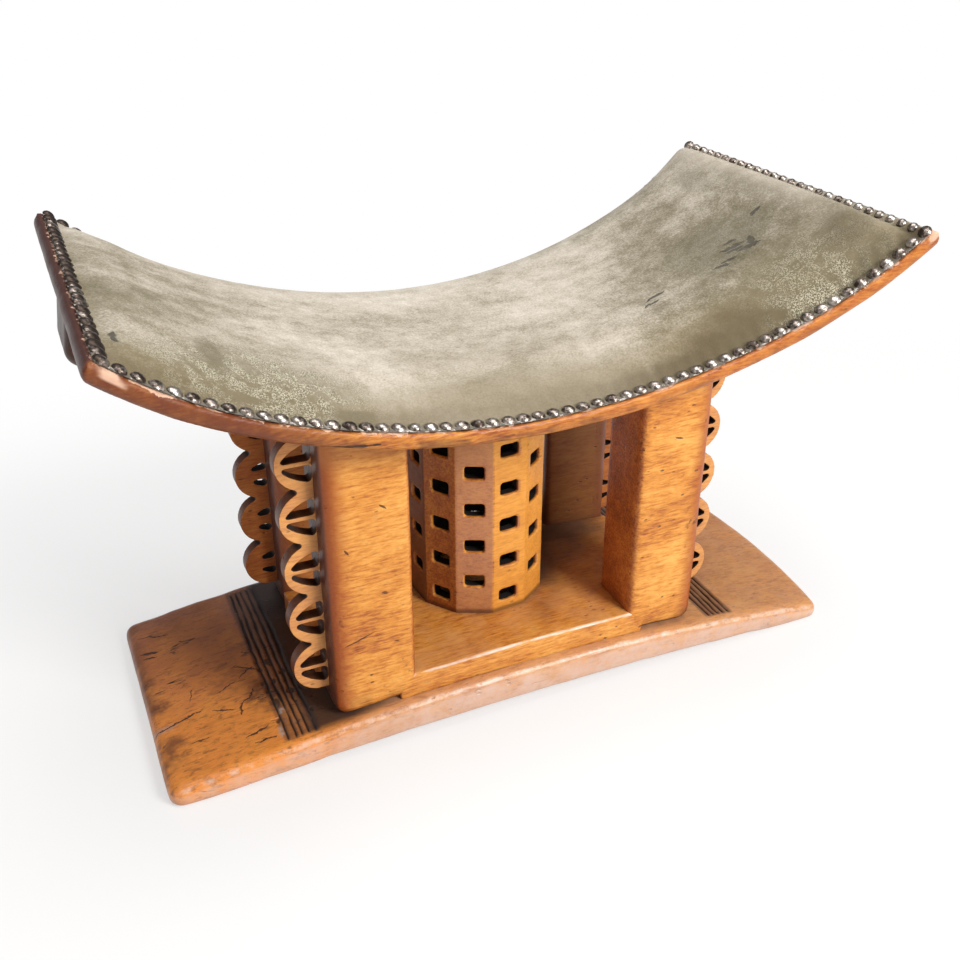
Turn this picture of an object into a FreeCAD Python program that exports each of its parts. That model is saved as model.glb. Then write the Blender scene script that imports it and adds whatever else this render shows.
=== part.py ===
"""Ashanti stool: a carved seat on four posts and a pierced column, with a nailed upholstered top.

Millimetres. X runs along the stool, Y from its front to its back, and Z up from the ground. The origin
is on the ground under the middle of the column. The curved seat and its posts are symmetric about both
upright planes through the origin; only the pierced column is turned a little about its own axis.
"""
import FreeCAD, Part
import Sketcher
import math
import os
import re

from FreeCAD import Placement, Rotation, Vector

doc = FreeCAD.newDocument("AshantiStool")
sizes = doc.addObject("Spreadsheet::Sheet", "Sizes")

# Driving dimensions: alias, value, what it measures. Angles are in degrees.
DRIVING_SIZES = [
    ("seat_middle_height", 270.4, "ground to the seat wood's top at its lowest place"),
    ("seat_middle_radius", 500, "curve of the seat's top over the posts and the column"),
    ("seat_middle_angle", 22.95, "half the angle that the middle curve spans"),
    ("seat_end_radius", 352, "tighter curve of the seat's top towards each end"),
    ("seat_end_angle", 41.9, "slope of the seat's top at each end"),
    ("seat_end_half_depth", 158.5, "half the seat's depth at its ends"),
    ("seat_waist", 21, "how far each long side is drawn in at its middle"),
    ("seat_thickness", 13, "seat wood, square to its curve"),
    ("seat_under_radius", 7, "rounding of the long edges underneath"),
    ("seat_rim_radius", 1.5, "worn arris round the top of the seat wood"),
    ("lug_width", 64, "lug under each end, from front to back"),
    ("lug_height", 46, "lug's length along the slope of the underside"),
    ("lug_reach", 31, "how far the lug stands out of the underside"),
    ("lug_end_margin", 8.5, "end of the seat to the lug, along the slope"),
    ("lug_slant", 17, "how far the lug's outer face leans back on its way down"),
    ("lug_radius", 11, "rounding of the lug"),
    ("post_inner", 94.5, "middle of the stool to the inner face of a post"),
    ("post_width", 64.5, "post, along the stool"),
    ("post_depth", 52, "post, from front to back"),
    ("post_outer_radius", 11, "rounding of a post's outer upright edges"),
    ("post_inner_radius", 6, "rounding of a post's inner upright edges"),
    ("post_foot_radius", 10, "rounding in of a post's outer foot"),
    ("fret_thickness", 12, "scalloped strip, from front to back"),
    ("fret_left_setback", 20, "post's outer front face to the strip's face, on the left side"),
    ("fret_right_setback", 26, "the same on the right side"),
    ("fret_lobes", 5, "half-round lobes on a strip"),
    ("fret_pitch", 43.5, "one lobe to the next"),
    ("fret_first_height", 70.5, "ground to the middle of the lowest lobe"),
    ("fret_neck", 9, "post to the notch between two lobes"),
    ("fret_reach", 27, "post to the crown of a lobe"),
    ("fret_web", 1, "post to the holes"),
    ("fret_hole_radius", 35, "bowed side of a hole"),
    ("front_fret_spoke", 4.8, "front strips: bar between the two holes of a lobe"),
    ("front_fret_hole_rise", 12, "front strips: height of a hole beside the post"),
    ("front_fret_hole_reach", 21.8, "front strips: post to the pointed end of a hole"),
    ("back_fret_spoke", 10, "back strips, whose holes are smaller: bar between the two holes of a lobe"),
    ("back_fret_hole_rise", 5.5, "back strips: height of a hole beside the post"),
    ("back_fret_hole_reach", 14, "back strips: post to the pointed end of a hole"),
    ("column_facets", 12, "sides of the pierced column"),
    ("column_radius", 57.5, "column's axis to an upright edge"),
    ("column_bore_radius", 45.5, "hollow inside the column"),
    ("column_turn", 5, "turn of the column about its axis"),
    ("window_width", 16, "pierced window, across a side"),
    ("window_height", 11.5, "pierced window, upwards"),
    ("window_pitch", 33.6, "one window to the next above it"),
    ("window_rows", 6, "windows on the fuller sides; the others have one fewer"),
    ("window_first_height", 71, "ground to the middle of the lowest window"),
    ("plinth_half_depth", 102.5, "half the depth of the plinth and over the posts"),
    ("plinth_height", 20, "plinth above the base"),
    ("plinth_edge_radius", 2.5, "worn edge of the plinth's long sides"),
    ("base_half_length", 291, "middle of the stool to the base's corners"),
    ("base_right_bow", 12, "how far the right end is bowed outwards between its corners"),
    ("base_half_depth", 113, "half the depth of the base"),
    ("base_middle_height", 36, "ground to the base's top at its middle"),
    ("base_end_thickness", 14, "thickness of the base at its ends"),
    ("base_arch_height", 9.5, "rise of the hollow under the base"),
    ("base_foot_width", 34, "flat foot under each end"),
    ("base_corner_radius", 10.5, "upright corners of the base"),
    ("base_bullnose_radius", 9, "rounding of the top edges, all round"),
    ("base_under_radius", 2.5, "rounding of the bottom edges, all round"),
    ("groove_count", 5, "grooves cut across the base on each side"),
    ("groove_pitch", 5.2, "one groove to the next"),
    ("groove_radius", 1.3, "section of a groove"),
    ("groove_middle", 187.5, "middle of the stool to the middle groove"),
    ("groove_end_margin", 9, "end of a groove to the edge of the base"),
    ("pad_crown", 18, "height of the stuffed seat over its nailed edge"),
    ("pad_end_inset", 22, "end of the seat to the padding, along the curve"),
    ("pad_edge_thickness", 1, "padding where it thins out beside the nails"),
    ("pad_clearance", 0.4, "padding's top to the cover, beyond the gap between layers"),
    ("cover_thickness", 1.2, "velvet cover"),
    ("cover_inset", 1.6, "edge of the seat to the cover's edge"),
    ("strip_width", 12.4, "flat edge of the cover, under the nails"),
    ("strip_rise", 0.25, "least rise of the cloth across the seat"),
    ("cloth_gap", 0.2, "clearance between two layers"),
    ("nail_inset", 6, "edge of the seat to a nail"),
    ("nail_head_radius", 5.5, "dome-headed nail"),
    ("nail_head_height", 3.4, "rise of the dome"),
    ("nail_shank_radius", 0.9, "shank of a nail"),
    ("nail_shank_length", 11.5, "shank below the head"),
    ("nail_fit", 0.05, "clearance round a shank"),
    ("long_side_nails", 55, "nails along the front or the back, corners included"),
    ("short_side_nails", 25, "nails between the corners at each end"),
    ("overrun", 5, "how far a cut runs past what it cuts"),
]

for row, (alias, amount, words) in enumerate(DRIVING_SIZES, start=1):
    sizes.set(f"A{row}", words)
    sizes.set(f"B{row}", str(amount))
    sizes.setAlias(f"B{row}", alias)
doc.recompute()

ALIASES = {alias for alias, amount, words in DRIVING_SIZES}


def bound(formula):
    """A formula in the sheet's aliases, as an expression that an object of the document can hold."""
    return re.sub(r"[a-z_]+", lambda word: f"Sizes.{word[0]}" if word[0] in ALIASES else word[0], formula)


def value(formula):
    """What a formula in the sheet's aliases comes to now."""
    return float(sizes.evalExpression(bound(formula)))


# Heights and curves that several pieces share, as formulas.
SEAT_CENTRE_HEIGHT = "(seat_middle_height + seat_middle_radius)"
SEAT_UNDER_RADIUS = "(seat_middle_radius + seat_thickness)"
END_UNDER_RADIUS = "(seat_end_radius + seat_thickness)"
END_CENTRE_X = "((seat_middle_radius - seat_end_radius) * sin(seat_middle_angle))"
END_CENTRE_HEIGHT = (f"({SEAT_CENTRE_HEIGHT}"
                     " - (seat_middle_radius - seat_end_radius) * cos(seat_middle_angle))")
SEAT_HALF_LENGTH = f"({END_CENTRE_X} + seat_end_radius * sin(seat_end_angle))"
PLAN_RADIUS = f"(({SEAT_HALF_LENGTH} ^ 2 + seat_waist ^ 2) / (2 * seat_waist))"
BASE_DROOP = "(base_middle_height - base_end_thickness)"
BASE_TOP_RADIUS = f"((base_half_length ^ 2 + {BASE_DROOP} ^ 2) / (2 * {BASE_DROOP}))"
ARCH_HALF = "(base_half_length - base_foot_width)"
ARCH_RADIUS = f"(({ARCH_HALF} ^ 2 + base_arch_height ^ 2) / (2 * base_arch_height))"
POST_OUTER = "(post_inner + post_width)"
UNDER_HEAD = "(2 * cloth_gap + cover_thickness)"


def base_top(reach):
    """Height of the base's drooping top, a distance from the middle."""
    return f"(base_middle_height - {BASE_TOP_RADIUS} + sqrt({BASE_TOP_RADIUS} ^ 2 - ({reach}) ^ 2))"


def seat_under(reach):
    """Height of the seat's underside over the posts, a distance from the middle."""
    return f"({SEAT_CENTRE_HEIGHT} - sqrt({SEAT_UNDER_RADIUS} ^ 2 - ({reach}) ^ 2))"


def plane_of(body, role):
    """One of a body's own origin planes."""
    return next(item for item in body.Origin.OriginFeatures if item.Role == role)


def new_body(name):
    """An empty body for one sub-part."""
    return doc.addObject("PartDesign::Body", name)


def new_sketch(body, name, role="XZ_Plane", turn=None, turn_axis=Vector(0, 1, 0), lift=None):
    """A sketch on one of the body's origin planes, turned about one of the plane's own axes or lifted
    off the plane."""
    sketch = body.newObject("Sketcher::SketchObject", name)
    sketch.AttachmentSupport = [(plane_of(body, role), "")]
    sketch.MapMode = "FlatFace"
    if turn is not None:
        sketch.AttachmentOffset = Placement(Vector(), Rotation(turn_axis, value(turn)))
        sketch.setExpression("AttachmentOffset.Rotation.Angle", bound(turn))
    if lift is not None:
        sketch.setExpression("AttachmentOffset.Base.z", bound(lift))
    doc.recompute()
    return sketch


def pin_point(sketch, edge, end, across, up):
    """Hold one end of an edge at a place worked out from the sheet."""
    for kind, axis, formula in (("DistanceX", -2, across), ("DistanceY", -1, up)):
        if formula == "0":
            sketch.addConstraint(Sketcher.Constraint("PointOnObject", edge, end, axis))
            continue
        index = sketch.addConstraint(Sketcher.Constraint(kind, edge, end, value(formula)))
        sketch.setExpression(f"Constraints[{index}]", bound(formula))


def outline(sketch, corners):
    """A closed outline. Each corner is (across, up) and then, for an arc to the next corner, its radius
    and the side of the arc's centre: 1 to the left of the way that the outline runs, -1 to the right."""
    places = [Vector(value(corner[0]), value(corner[1]), 0) for corner in corners]
    first = sketch.GeometryCount
    for index, corner in enumerate(corners):
        start = places[index]
        finish = places[(index + 1) % len(corners)]
        if len(corner) == 2:
            sketch.addGeometry(Part.LineSegment(start, finish), False)
            continue
        chord = finish - start
        radius = value(corner[2])
        half = chord.Length / 2
        left = Vector(-chord.y, chord.x, 0).normalize() * corner[3]
        centre = (start + finish) / 2 + left * math.sqrt(radius ** 2 - half ** 2)
        crown = centre - left * radius
        sketch.addGeometry(Part.Arc(start, crown, finish), False)
    for index, corner in enumerate(corners):
        edge = first + index
        following = first + (index + 1) % len(corners)
        ends = [start_and_end(sketch, item, places[(item - first) % len(corners)]) for item in (edge, following)]
        sketch.addConstraint(Sketcher.Constraint("Coincident", edge, ends[0][1], following, ends[1][0]))
        pin_point(sketch, edge, ends[0][0], corner[0], corner[1])
        if len(corner) > 2:
            index = sketch.addConstraint(Sketcher.Constraint("Radius", edge, value(corner[2])))
            sketch.setExpression(f"Constraints[{index}]", bound(corner[2]))


def start_and_end(sketch, edge, start):
    """Which of an edge's two ends is the corner it leaves, and which the corner it comes to."""
    is_start = sketch.getPoint(edge, 1).distanceToPoint(start) < sketch.getPoint(edge, 2).distanceToPoint(start)
    return (1, 2) if is_start else (2, 1)


def circle(sketch, across, up, radius):
    """A circle whose centre and radius are worked out from the sheet."""
    edge = sketch.addGeometry(Part.Circle(Vector(value(across), value(up), 0), Vector(0, 0, 1), value(radius)), False)
    pin_point(sketch, edge, 3, across, up)
    index = sketch.addConstraint(Sketcher.Constraint("Radius", edge, value(radius)))
    sketch.setExpression(f"Constraints[{index}]", bound(radius))


def pad(body, name, sketch, length, both_ways=True):
    """Raise a sketch into wood, evenly to both sides of its plane or to one."""
    feature = body.newObject("PartDesign::Pad", name)
    feature.Profile = sketch
    feature.setExpression("Length", bound(length))
    feature.SideType = "Symmetric" if both_ways else "One side"
    sketch.Visibility = False
    doc.recompute()
    return feature


def pocket(body, name, sketch, length, both_ways=True, reverse=False):
    """Cut a sketch away, evenly to both sides of its plane or to one. Prints what it took out."""
    before = body.Shape.Volume
    feature = body.newObject("PartDesign::Pocket", name)
    feature.Profile = sketch
    feature.setExpression("Length", bound(length))
    feature.SideType = "Symmetric" if both_ways else "One side"
    feature.Reversed = reverse
    doc.recompute()
    print(f"{body.Name} {name} takes out {before - body.Shape.Volume:.0f} mm3")
    return feature


def rounding(body, name, radius, chosen):
    """Round the edges of the body's last feature that the test picks out."""
    last = body.Tip
    names = [f"Edge{index}" for index, edge in enumerate(last.Shape.Edges, start=1) if chosen(edge)]
    feature = body.newObject("PartDesign::Fillet", name)
    feature.Base = (last, names)
    feature.setExpression("Radius", bound(radius))
    doc.recompute()
    return feature


def middle_of(edge):
    """The point half way along an edge."""
    return edge.valueAt((edge.FirstParameter + edge.LastParameter) / 2)


def near(first, second, tolerance=0.05):
    """Whether two lengths agree, within a small share of a millimetre."""
    return abs(first - second) < tolerance


def is_upright(edge):
    """Whether an edge runs straight up."""
    box = edge.BoundBox
    return near(box.XLength, 0) and near(box.YLength, 0)


def mirrored(corners, side):
    """An outline's corners for the stool's right half, side 1, or for its left half, side -1."""
    if side == 1:
        return corners
    return [(f"-{corner[0]}", corner[1], *corner[2:3], *(-turn for turn in corner[3:])) for corner in corners]


def place_across(body, formula):
    """Move a body from front to back, to a place worked out from the sheet."""
    body.setExpression("Placement.Base.y", bound(formula))
    doc.recompute()


# Seat: a curved section is padded from front to back, then its long sides are drawn in.

def seat_point(angle, depth):
    """A point at an angle round the seat's end curve, at a depth below it, as two formulas."""
    across = f"({END_CENTRE_X} + (seat_end_radius + {depth}) * sin({angle}))"
    up = f"({END_CENTRE_HEIGHT} - (seat_end_radius + {depth}) * cos({angle}))"
    return across, up


def make_seat_blank():
    """The seat's wood before the nails are driven."""
    body = new_body("SeatBlank")
    end_top = seat_point("seat_end_angle", "0")
    end_under = seat_point("seat_end_angle", "seat_thickness")
    middle_top = seat_point("seat_middle_angle", "0")
    middle_under = seat_point("seat_middle_angle", "seat_thickness")
    section = new_sketch(body, "SeatSection")
    outline(section, [
        (f"-{end_under[0]}", end_under[1], END_UNDER_RADIUS, 1),
        (f"-{middle_under[0]}", middle_under[1], SEAT_UNDER_RADIUS, 1),
        (middle_under[0], middle_under[1], END_UNDER_RADIUS, 1),
        (end_under[0], end_under[1]),
        (end_top[0], end_top[1], "seat_end_radius", -1),
        (middle_top[0], middle_top[1], "seat_middle_radius", -1),
        (f"-{middle_top[0]}", middle_top[1], "seat_end_radius", -1),
        (f"-{end_top[0]}", end_top[1]),
    ])
    reach = f"({SEAT_HALF_LENGTH} + seat_thickness)"
    side = half_depth_formula(reach)
    beyond = f"({side} + overrun)"
    pad(body, "SeatPad", section, f"2 * {side}")
    plan = new_sketch(body, "SeatPlan", "XY_Plane")
    outline(plan, [(f"-{reach}", side, PLAN_RADIUS, 1), (reach, side), (reach, beyond), (f"-{reach}", beyond)])
    outline(plan, [(reach, f"-{side}", PLAN_RADIUS, 1), (f"-{reach}", f"-{side}"),
                   (f"-{reach}", f"-{beyond}"), (reach, f"-{beyond}")])
    pocket(body, "SeatWaist", plan, "2 * (seat_middle_height + seat_end_radius)")
    rounding(body, "SeatUnderEdges", "seat_under_radius", lambda edge: is_seat_edge(edge, value("seat_thickness")))
    rounding(body, "SeatRim", "seat_rim_radius", lambda edge: is_seat_edge(edge, 0))
    return body


def half_depth_formula(reach):
    """Half the seat's depth, a distance along it from its middle."""
    return (f"(seat_end_half_depth - seat_waist + {PLAN_RADIUS}"
            f" - sqrt({PLAN_RADIUS} ^ 2 - {reach} ^ 2))")


def is_seat_edge(edge, depth):
    """Whether an edge runs round the outside of the seat's wood at a depth below its top."""
    middle = middle_of(edge)
    outside = abs(middle.y) > value("seat_end_half_depth - 2 * seat_waist")
    at_end = abs(middle.x) > value(f"{SEAT_HALF_LENGTH} - seat_thickness / 2")
    return near(seat_depth(middle), depth) and (outside or at_end)


def seat_depth(point):
    """How deep a point lies below the curve of the seat's top."""
    reach = abs(point.x)
    down = value(SEAT_CENTRE_HEIGHT) - point.z
    if math.degrees(math.atan2(reach, down)) < value("seat_middle_angle"):
        return math.hypot(reach, down) - value("seat_middle_radius")
    reach = reach - value(END_CENTRE_X)
    down = value(END_CENTRE_HEIGHT) - point.z
    return math.hypot(reach, down) - value("seat_end_radius")


def make_lug(name, side):
    """The rounded lug under one end of the seat: side 1 is the right end, -1 the left."""
    body = new_body(name)
    degrees_in_run = f"* 180 / pi / {END_UNDER_RADIUS}"
    high = f"(seat_end_angle - lug_end_margin {degrees_in_run})"
    leaning = f"(seat_end_angle - (lug_end_margin + lug_slant) {degrees_in_run})"
    low = f"(seat_end_angle - (lug_end_margin + lug_height) {degrees_in_run})"
    depth = "(seat_thickness + lug_reach)"
    section = new_sketch(body, f"{name}Section")
    outline(section, mirrored([
        (*seat_point(low, "seat_thickness"), END_UNDER_RADIUS, 1),
        seat_point(high, "seat_thickness"),
        seat_point(leaning, depth),
        seat_point(low, depth),
    ], side))
    pad(body, f"{name}Pad", section, "lug_width")
    rounding(body, f"{name}Edges", "lug_radius",
             lambda edge: not near(seat_depth(middle_of(edge)), value("seat_thickness")))
    return body


# Posts and their scalloped strips.

def make_post(name, side, way):
    """A corner post. side is 1 on the right and -1 on the left; way is 1 at the back and -1 in front."""
    body = new_body(name)
    foot = f"({POST_OUTER} - post_foot_radius)"
    section = new_sketch(body, f"{name}Section")
    outline(section, mirrored([
        ("post_inner", base_top("post_inner"), BASE_TOP_RADIUS, -1),
        (foot, base_top(foot), "post_foot_radius", 1),
        (POST_OUTER, f"({base_top(foot)} + post_foot_radius)"),
        (POST_OUTER, seat_under(POST_OUTER), SEAT_UNDER_RADIUS, -1),
        ("post_inner", seat_under("post_inner")),
    ], side))
    pad(body, f"{name}Pad", section, "post_depth")
    for place, reach in (("Outer", POST_OUTER), ("Inner", "post_inner")):
        rounding(body, f"{name}{place}Edges", f"post_{place.lower()}_radius",
                 lambda edge: is_upright(edge) and near(abs(middle_of(edge).x), value(reach)))
    place_across(body, f"{way} * (plinth_half_depth - post_depth / 2)")
    return body


def make_fret(name, side, way):
    """A strip of half-round lobes up a post's outer side, each lobe pierced by two pointed holes. side is 1
    on the right and -1 on the left; way is 1 at the back and -1 in front."""
    body = new_body(name)
    neck = f"({POST_OUTER} + fret_neck)"
    low = "(fret_first_height - fret_pitch / 2)"
    swell = "(fret_reach - fret_neck)"
    lobe_radius = f"(((fret_pitch / 2) ^ 2 + {swell} ^ 2) / (2 * {swell}))"
    lobes = int(value("fret_lobes"))
    corners = [(POST_OUTER, low)]
    for lobe in range(lobes):
        corners.append((neck, f"({low} + {lobe} * fret_pitch)", lobe_radius, 1))
    corners.append((neck, f"({low} + {lobes} * fret_pitch)"))
    corners.append((neck, seat_under(neck), SEAT_UNDER_RADIUS, -1))
    corners.append((POST_OUTER, seat_under(POST_OUTER)))
    section = new_sketch(body, f"{name}Section")
    outline(section, mirrored(corners, side))
    pad(body, f"{name}Pad", section, "fret_thickness")
    holes = new_sketch(body, f"{name}HoleSection")
    strip = "back_fret" if way > 0 else "front_fret"
    back = f"({POST_OUTER} + fret_web)"
    tip = f"({POST_OUTER} + {strip}_hole_reach)"
    near_spoke = f"(fret_first_height + {strip}_spoke / 2)"
    under_spoke = f"(fret_first_height - {strip}_spoke / 2)"
    outline(holes, mirrored([
        (back, near_spoke),
        (tip, near_spoke, "fret_hole_radius", 1),
        (back, f"({near_spoke} + {strip}_hole_rise)"),
    ], side))
    outline(holes, mirrored([
        (tip, under_spoke),
        (back, under_spoke),
        (back, f"({under_spoke} - {strip}_hole_rise)", "fret_hole_radius", 1),
    ], side))
    cut = pocket(body, f"{name}Holes", holes, "fret_thickness + 2 * overrun")
    pattern = body.newObject("PartDesign::LinearPattern", f"{name}Pattern")
    pattern.Originals = [cut]
    pattern.Direction = (holes, ["V_Axis"])
    pattern.setExpression("Length", bound("fret_pitch * (fret_lobes - 1)"))
    pattern.setExpression("Occurrences", bound("fret_lobes"))
    body.Tip = pattern
    setback = "fret_right_setback" if side > 0 else "fret_left_setback"
    place_across(body, f"{way} * (plinth_half_depth - {setback} - fret_thickness / 2)")
    return body


# Column: a twelve-sided tube whose sides carry staggered rows of windows.

def make_column():
    """The pierced column, from the plinth to the seat's underside."""
    body = new_body("PiercedColumn")
    reach = "(column_radius + overrun)"
    plinth_top = f"({base_top(reach)} + plinth_height)"
    plan = new_sketch(body, "ColumnPlan", "XY_Plane", "column_turn", Vector(0, 0, 1), plinth_top)
    step = "360 / column_facets"
    outline(plan, [(f"(column_radius * cos({step} * ({corner} + 0.5)))",
                    f"(column_radius * sin({step} * ({corner} + 0.5)))")
                   for corner in range(int(value("column_facets")))])
    pad(body, "ColumnPad", plan, f"{seat_under(reach)} - {plinth_top}", both_ways=False)
    bore = new_sketch(body, "ColumnBorePlan", "XY_Plane")
    circle(bore, "0", "0", "column_bore_radius")
    pocket(body, "ColumnBore", bore, "2 * seat_middle_height + seat_middle_radius")
    ends = new_sketch(body, "ColumnEnds")
    outline(ends, [
        (f"-{reach}", seat_under(reach), SEAT_UNDER_RADIUS, 1),
        (reach, seat_under(reach)),
        (reach, f"({seat_under(reach)} + overrun)"),
        (f"-{reach}", f"({seat_under(reach)} + overrun)"),
    ])
    outline(ends, [
        (f"-{reach}", plinth_top, BASE_TOP_RADIUS, -1),
        (reach, plinth_top),
        (reach, f"({plinth_top} - overrun)"),
        (f"-{reach}", f"({plinth_top} - overrun)"),
    ])
    pocket(body, "ColumnTrim", ends, f"2 * {reach}")
    rows = int(value("window_rows"))
    pierce(body, "FullSide", rows, "0", "column_turn")
    pierce(body, "StaggeredSide", rows - 1, "window_pitch / 2", f"(column_turn + {step})")
    return body


def pierce(body, name, rows, lift, turn):
    """Cut a row of windows up one side of the column, and repeat it on every other side."""
    windows = new_sketch(body, f"{name}Windows", "XZ_Plane", turn)
    for row in range(rows):
        middle = f"(window_first_height + {lift} + {row} * window_pitch)"
        low = f"({middle} - window_height / 2)"
        high = f"({middle} + window_height / 2)"
        outline(windows, [("-window_width / 2", low), ("window_width / 2", low),
                          ("window_width / 2", high), ("-window_width / 2", high)])
    cut = pocket(body, f"{name}Cut", windows, "column_radius + overrun", both_ways=False, reverse=True)
    pattern = body.newObject("PartDesign::PolarPattern", f"{name}Pattern")
    pattern.Originals = [cut]
    pattern.Axis = (plane_of(body, "Z_Axis"), [""])
    pattern.Angle = 360
    pattern.setExpression("Occurrences", bound("column_facets / 2"))
    body.Tip = pattern
    doc.recompute()


# Plinth and base.

def plinth_section(body, name, reach):
    """The plinth's section: as high over the base's drooping top at every place."""
    section = new_sketch(body, name)
    low = base_top(reach)
    high = f"({low} + plinth_height)"
    outline(section, [
        (f"-{reach}", low, BASE_TOP_RADIUS, -1),
        (reach, low),
        (reach, high, BASE_TOP_RADIUS, 1),
        (f"-{reach}", high),
    ])
    return section


def make_plinth():
    """The raised step that fills the floor between the four posts."""
    body = new_body("Plinth")
    pad(body, "PlinthMiddle", plinth_section(body, "PlinthMiddleSection", "post_inner"), "2 * plinth_half_depth")
    pad(body, "PlinthArms", plinth_section(body, "PlinthArmSection", POST_OUTER),
        "2 * (plinth_half_depth - post_depth)")
    long_side = value("plinth_half_depth")
    low_edge = value(base_top("0")) + value("plinth_height / 2")
    rounding(body, "PlinthEdges", "plinth_edge_radius",
             lambda edge: near(abs(middle_of(edge).y), long_side) and middle_of(edge).z > low_edge
             and near(middle_of(edge).x, 0))
    return body


def make_base():
    """The base: arched underneath, thin at its ends, with grooves cut across it on both sides. Its left end
    is straight, and its right end is bowed outwards."""
    body = new_body("BaseSlab")
    right_end = "(base_half_length + base_right_bow)"
    section = new_sketch(body, "BaseSection")
    outline(section, [
        ("-base_half_length", "0"),
        (f"-{ARCH_HALF}", "0", ARCH_RADIUS, -1),
        (ARCH_HALF, "0"),
        (right_end, "0"),
        (right_end, base_top(right_end), BASE_TOP_RADIUS, 1),
        ("-base_half_length", "base_end_thickness"),
    ])
    pad(body, "BasePad", section, "2 * base_half_depth")
    bow_radius = "((base_half_depth ^ 2 + base_right_bow ^ 2) / (2 * base_right_bow))"
    beyond = f"({right_end} + overrun)"
    plan = new_sketch(body, "BaseRightEnd", "XY_Plane")
    outline(plan, [
        ("base_half_length", "-base_half_depth", bow_radius, 1),
        ("base_half_length", "base_half_depth"),
        (beyond, "base_half_depth"),
        (beyond, "-base_half_depth"),
    ])
    pocket(body, "BaseBow", plan, "2 * base_middle_height")
    rounding(body, "BaseCorners", "base_corner_radius", is_upright)
    rounding(body, "BaseBullnose", "base_bullnose_radius",
             lambda edge: is_base_rim(edge) and below_base_top(edge) < value("base_end_thickness / 2"))
    rounding(body, "BaseUnderEdges", "base_under_radius",
             lambda edge: is_base_rim(edge) and below_base_top(edge) > value("base_end_thickness - base_under_radius"))
    grooves = new_sketch(body, "BaseGrooveSection")
    count = int(value("groove_count"))
    for side in (-1, 1):
        for groove in range(count):
            reach = f"(groove_middle + ({groove} - (groove_count - 1) / 2) * groove_pitch)"
            circle(grooves, f"({side} * {reach})", base_top(reach), "groove_radius")
    pocket(body, "BaseGrooves", grooves, "2 * (base_half_depth - groove_end_margin)")
    return body


def is_base_rim(edge):
    """Whether an edge runs round the outside of the base."""
    middle = middle_of(edge)
    at_side = abs(middle.y) > value("base_half_depth - base_corner_radius")
    at_end = abs(middle.x) > value("base_half_length - base_corner_radius")
    return not is_upright(edge) and (at_side or at_end)


def below_base_top(edge):
    """How far an edge's middle lies under the base's top."""
    middle = middle_of(edge)
    return value(base_top(f"{abs(middle.x):f}")) - middle.z


# Upholstery: the padding and its cover are lofts along the seat, and the nails follow its edge.

def seat_station(run):
    """A place on the middle line of the seat's top, a run along the curve from the middle, as the point
    there and the direction square to the wood."""
    middle_angle = math.radians(value("seat_middle_angle"))
    middle_run = seat_middle_run()
    way = math.copysign(1, run)
    if abs(run) <= middle_run:
        angle = abs(run) / value("seat_middle_radius")
        across = value("seat_middle_radius") * math.sin(angle)
        up = value(SEAT_CENTRE_HEIGHT) - value("seat_middle_radius") * math.cos(angle)
    else:
        angle = middle_angle + (abs(run) - middle_run) / value("seat_end_radius")
        across = value(END_CENTRE_X) + value("seat_end_radius") * math.sin(angle)
        up = value(END_CENTRE_HEIGHT) - value("seat_end_radius") * math.cos(angle)
    return Vector(way * across, 0, up), Vector(-way * math.sin(angle), 0, math.cos(angle))


def seat_middle_run():
    """The run along the seat's curve from its middle to where the tighter curve starts."""
    return value("seat_middle_radius") * math.radians(value("seat_middle_angle"))


def seat_half_run():
    """The run along the seat's curve from its middle to its end."""
    return seat_middle_run() + value("seat_end_radius") * math.radians(value("seat_end_angle - seat_middle_angle"))


def half_depth(across):
    """Half the seat's depth at a place along it."""
    plan = value(PLAN_RADIUS)
    return value("seat_end_half_depth") - value("seat_waist") + plan - math.sqrt(plan ** 2 - across ** 2)


# Places of a loft's sections, as shares of the middle curve and then of the end curve beyond it, and
# places across a section, as shares of its half width.
MIDDLE_SHARES = (0, 0.33, 0.67, 1)
END_SHARES = (0.35, 0.65, 0.86)
ACROSS_SHARES = (1, 0.94, 0.84, 0.68, 0.4)

# How squarely the stuffing fills the cover: across the seat, and towards its two ends.
ACROSS_POWER = 6
END_POWER = 8


def crown_at(run):
    """How far the stuffed seat stands over its nailed edge, at a place along it."""
    share = min(1, abs(run) / (seat_half_run() - value("strip_width")))
    return value("strip_rise") + value("pad_crown") * (1 - share ** END_POWER)


def layer_stations(end_runs):
    """The runs of a loft's sections, from the left end to the right."""
    middle_run = seat_middle_run()
    beyond = end_runs[0] - middle_run
    half = [share * middle_run for share in MIDDLE_SHARES]
    half += [middle_run + share * beyond for share in END_SHARES] + end_runs
    return [-run for run in reversed(half[1:])] + half


def crowned_line(wood, half_width, reach, crown, rise):
    """A smooth line across the seat at a rise above the wood, crowned over the half width. It reaches as far
    as a share of that width, from front to back."""
    shares = [-share for share in ACROSS_SHARES] + [0] + list(reversed(ACROSS_SHARES))
    line = Part.BSplineCurve()
    line.interpolate([wood + Vector(0, half_width * reach * share,
                                    rise + crown * (1 - abs(reach * share) ** ACROSS_POWER)) for share in shares])
    return line.toShape()


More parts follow.
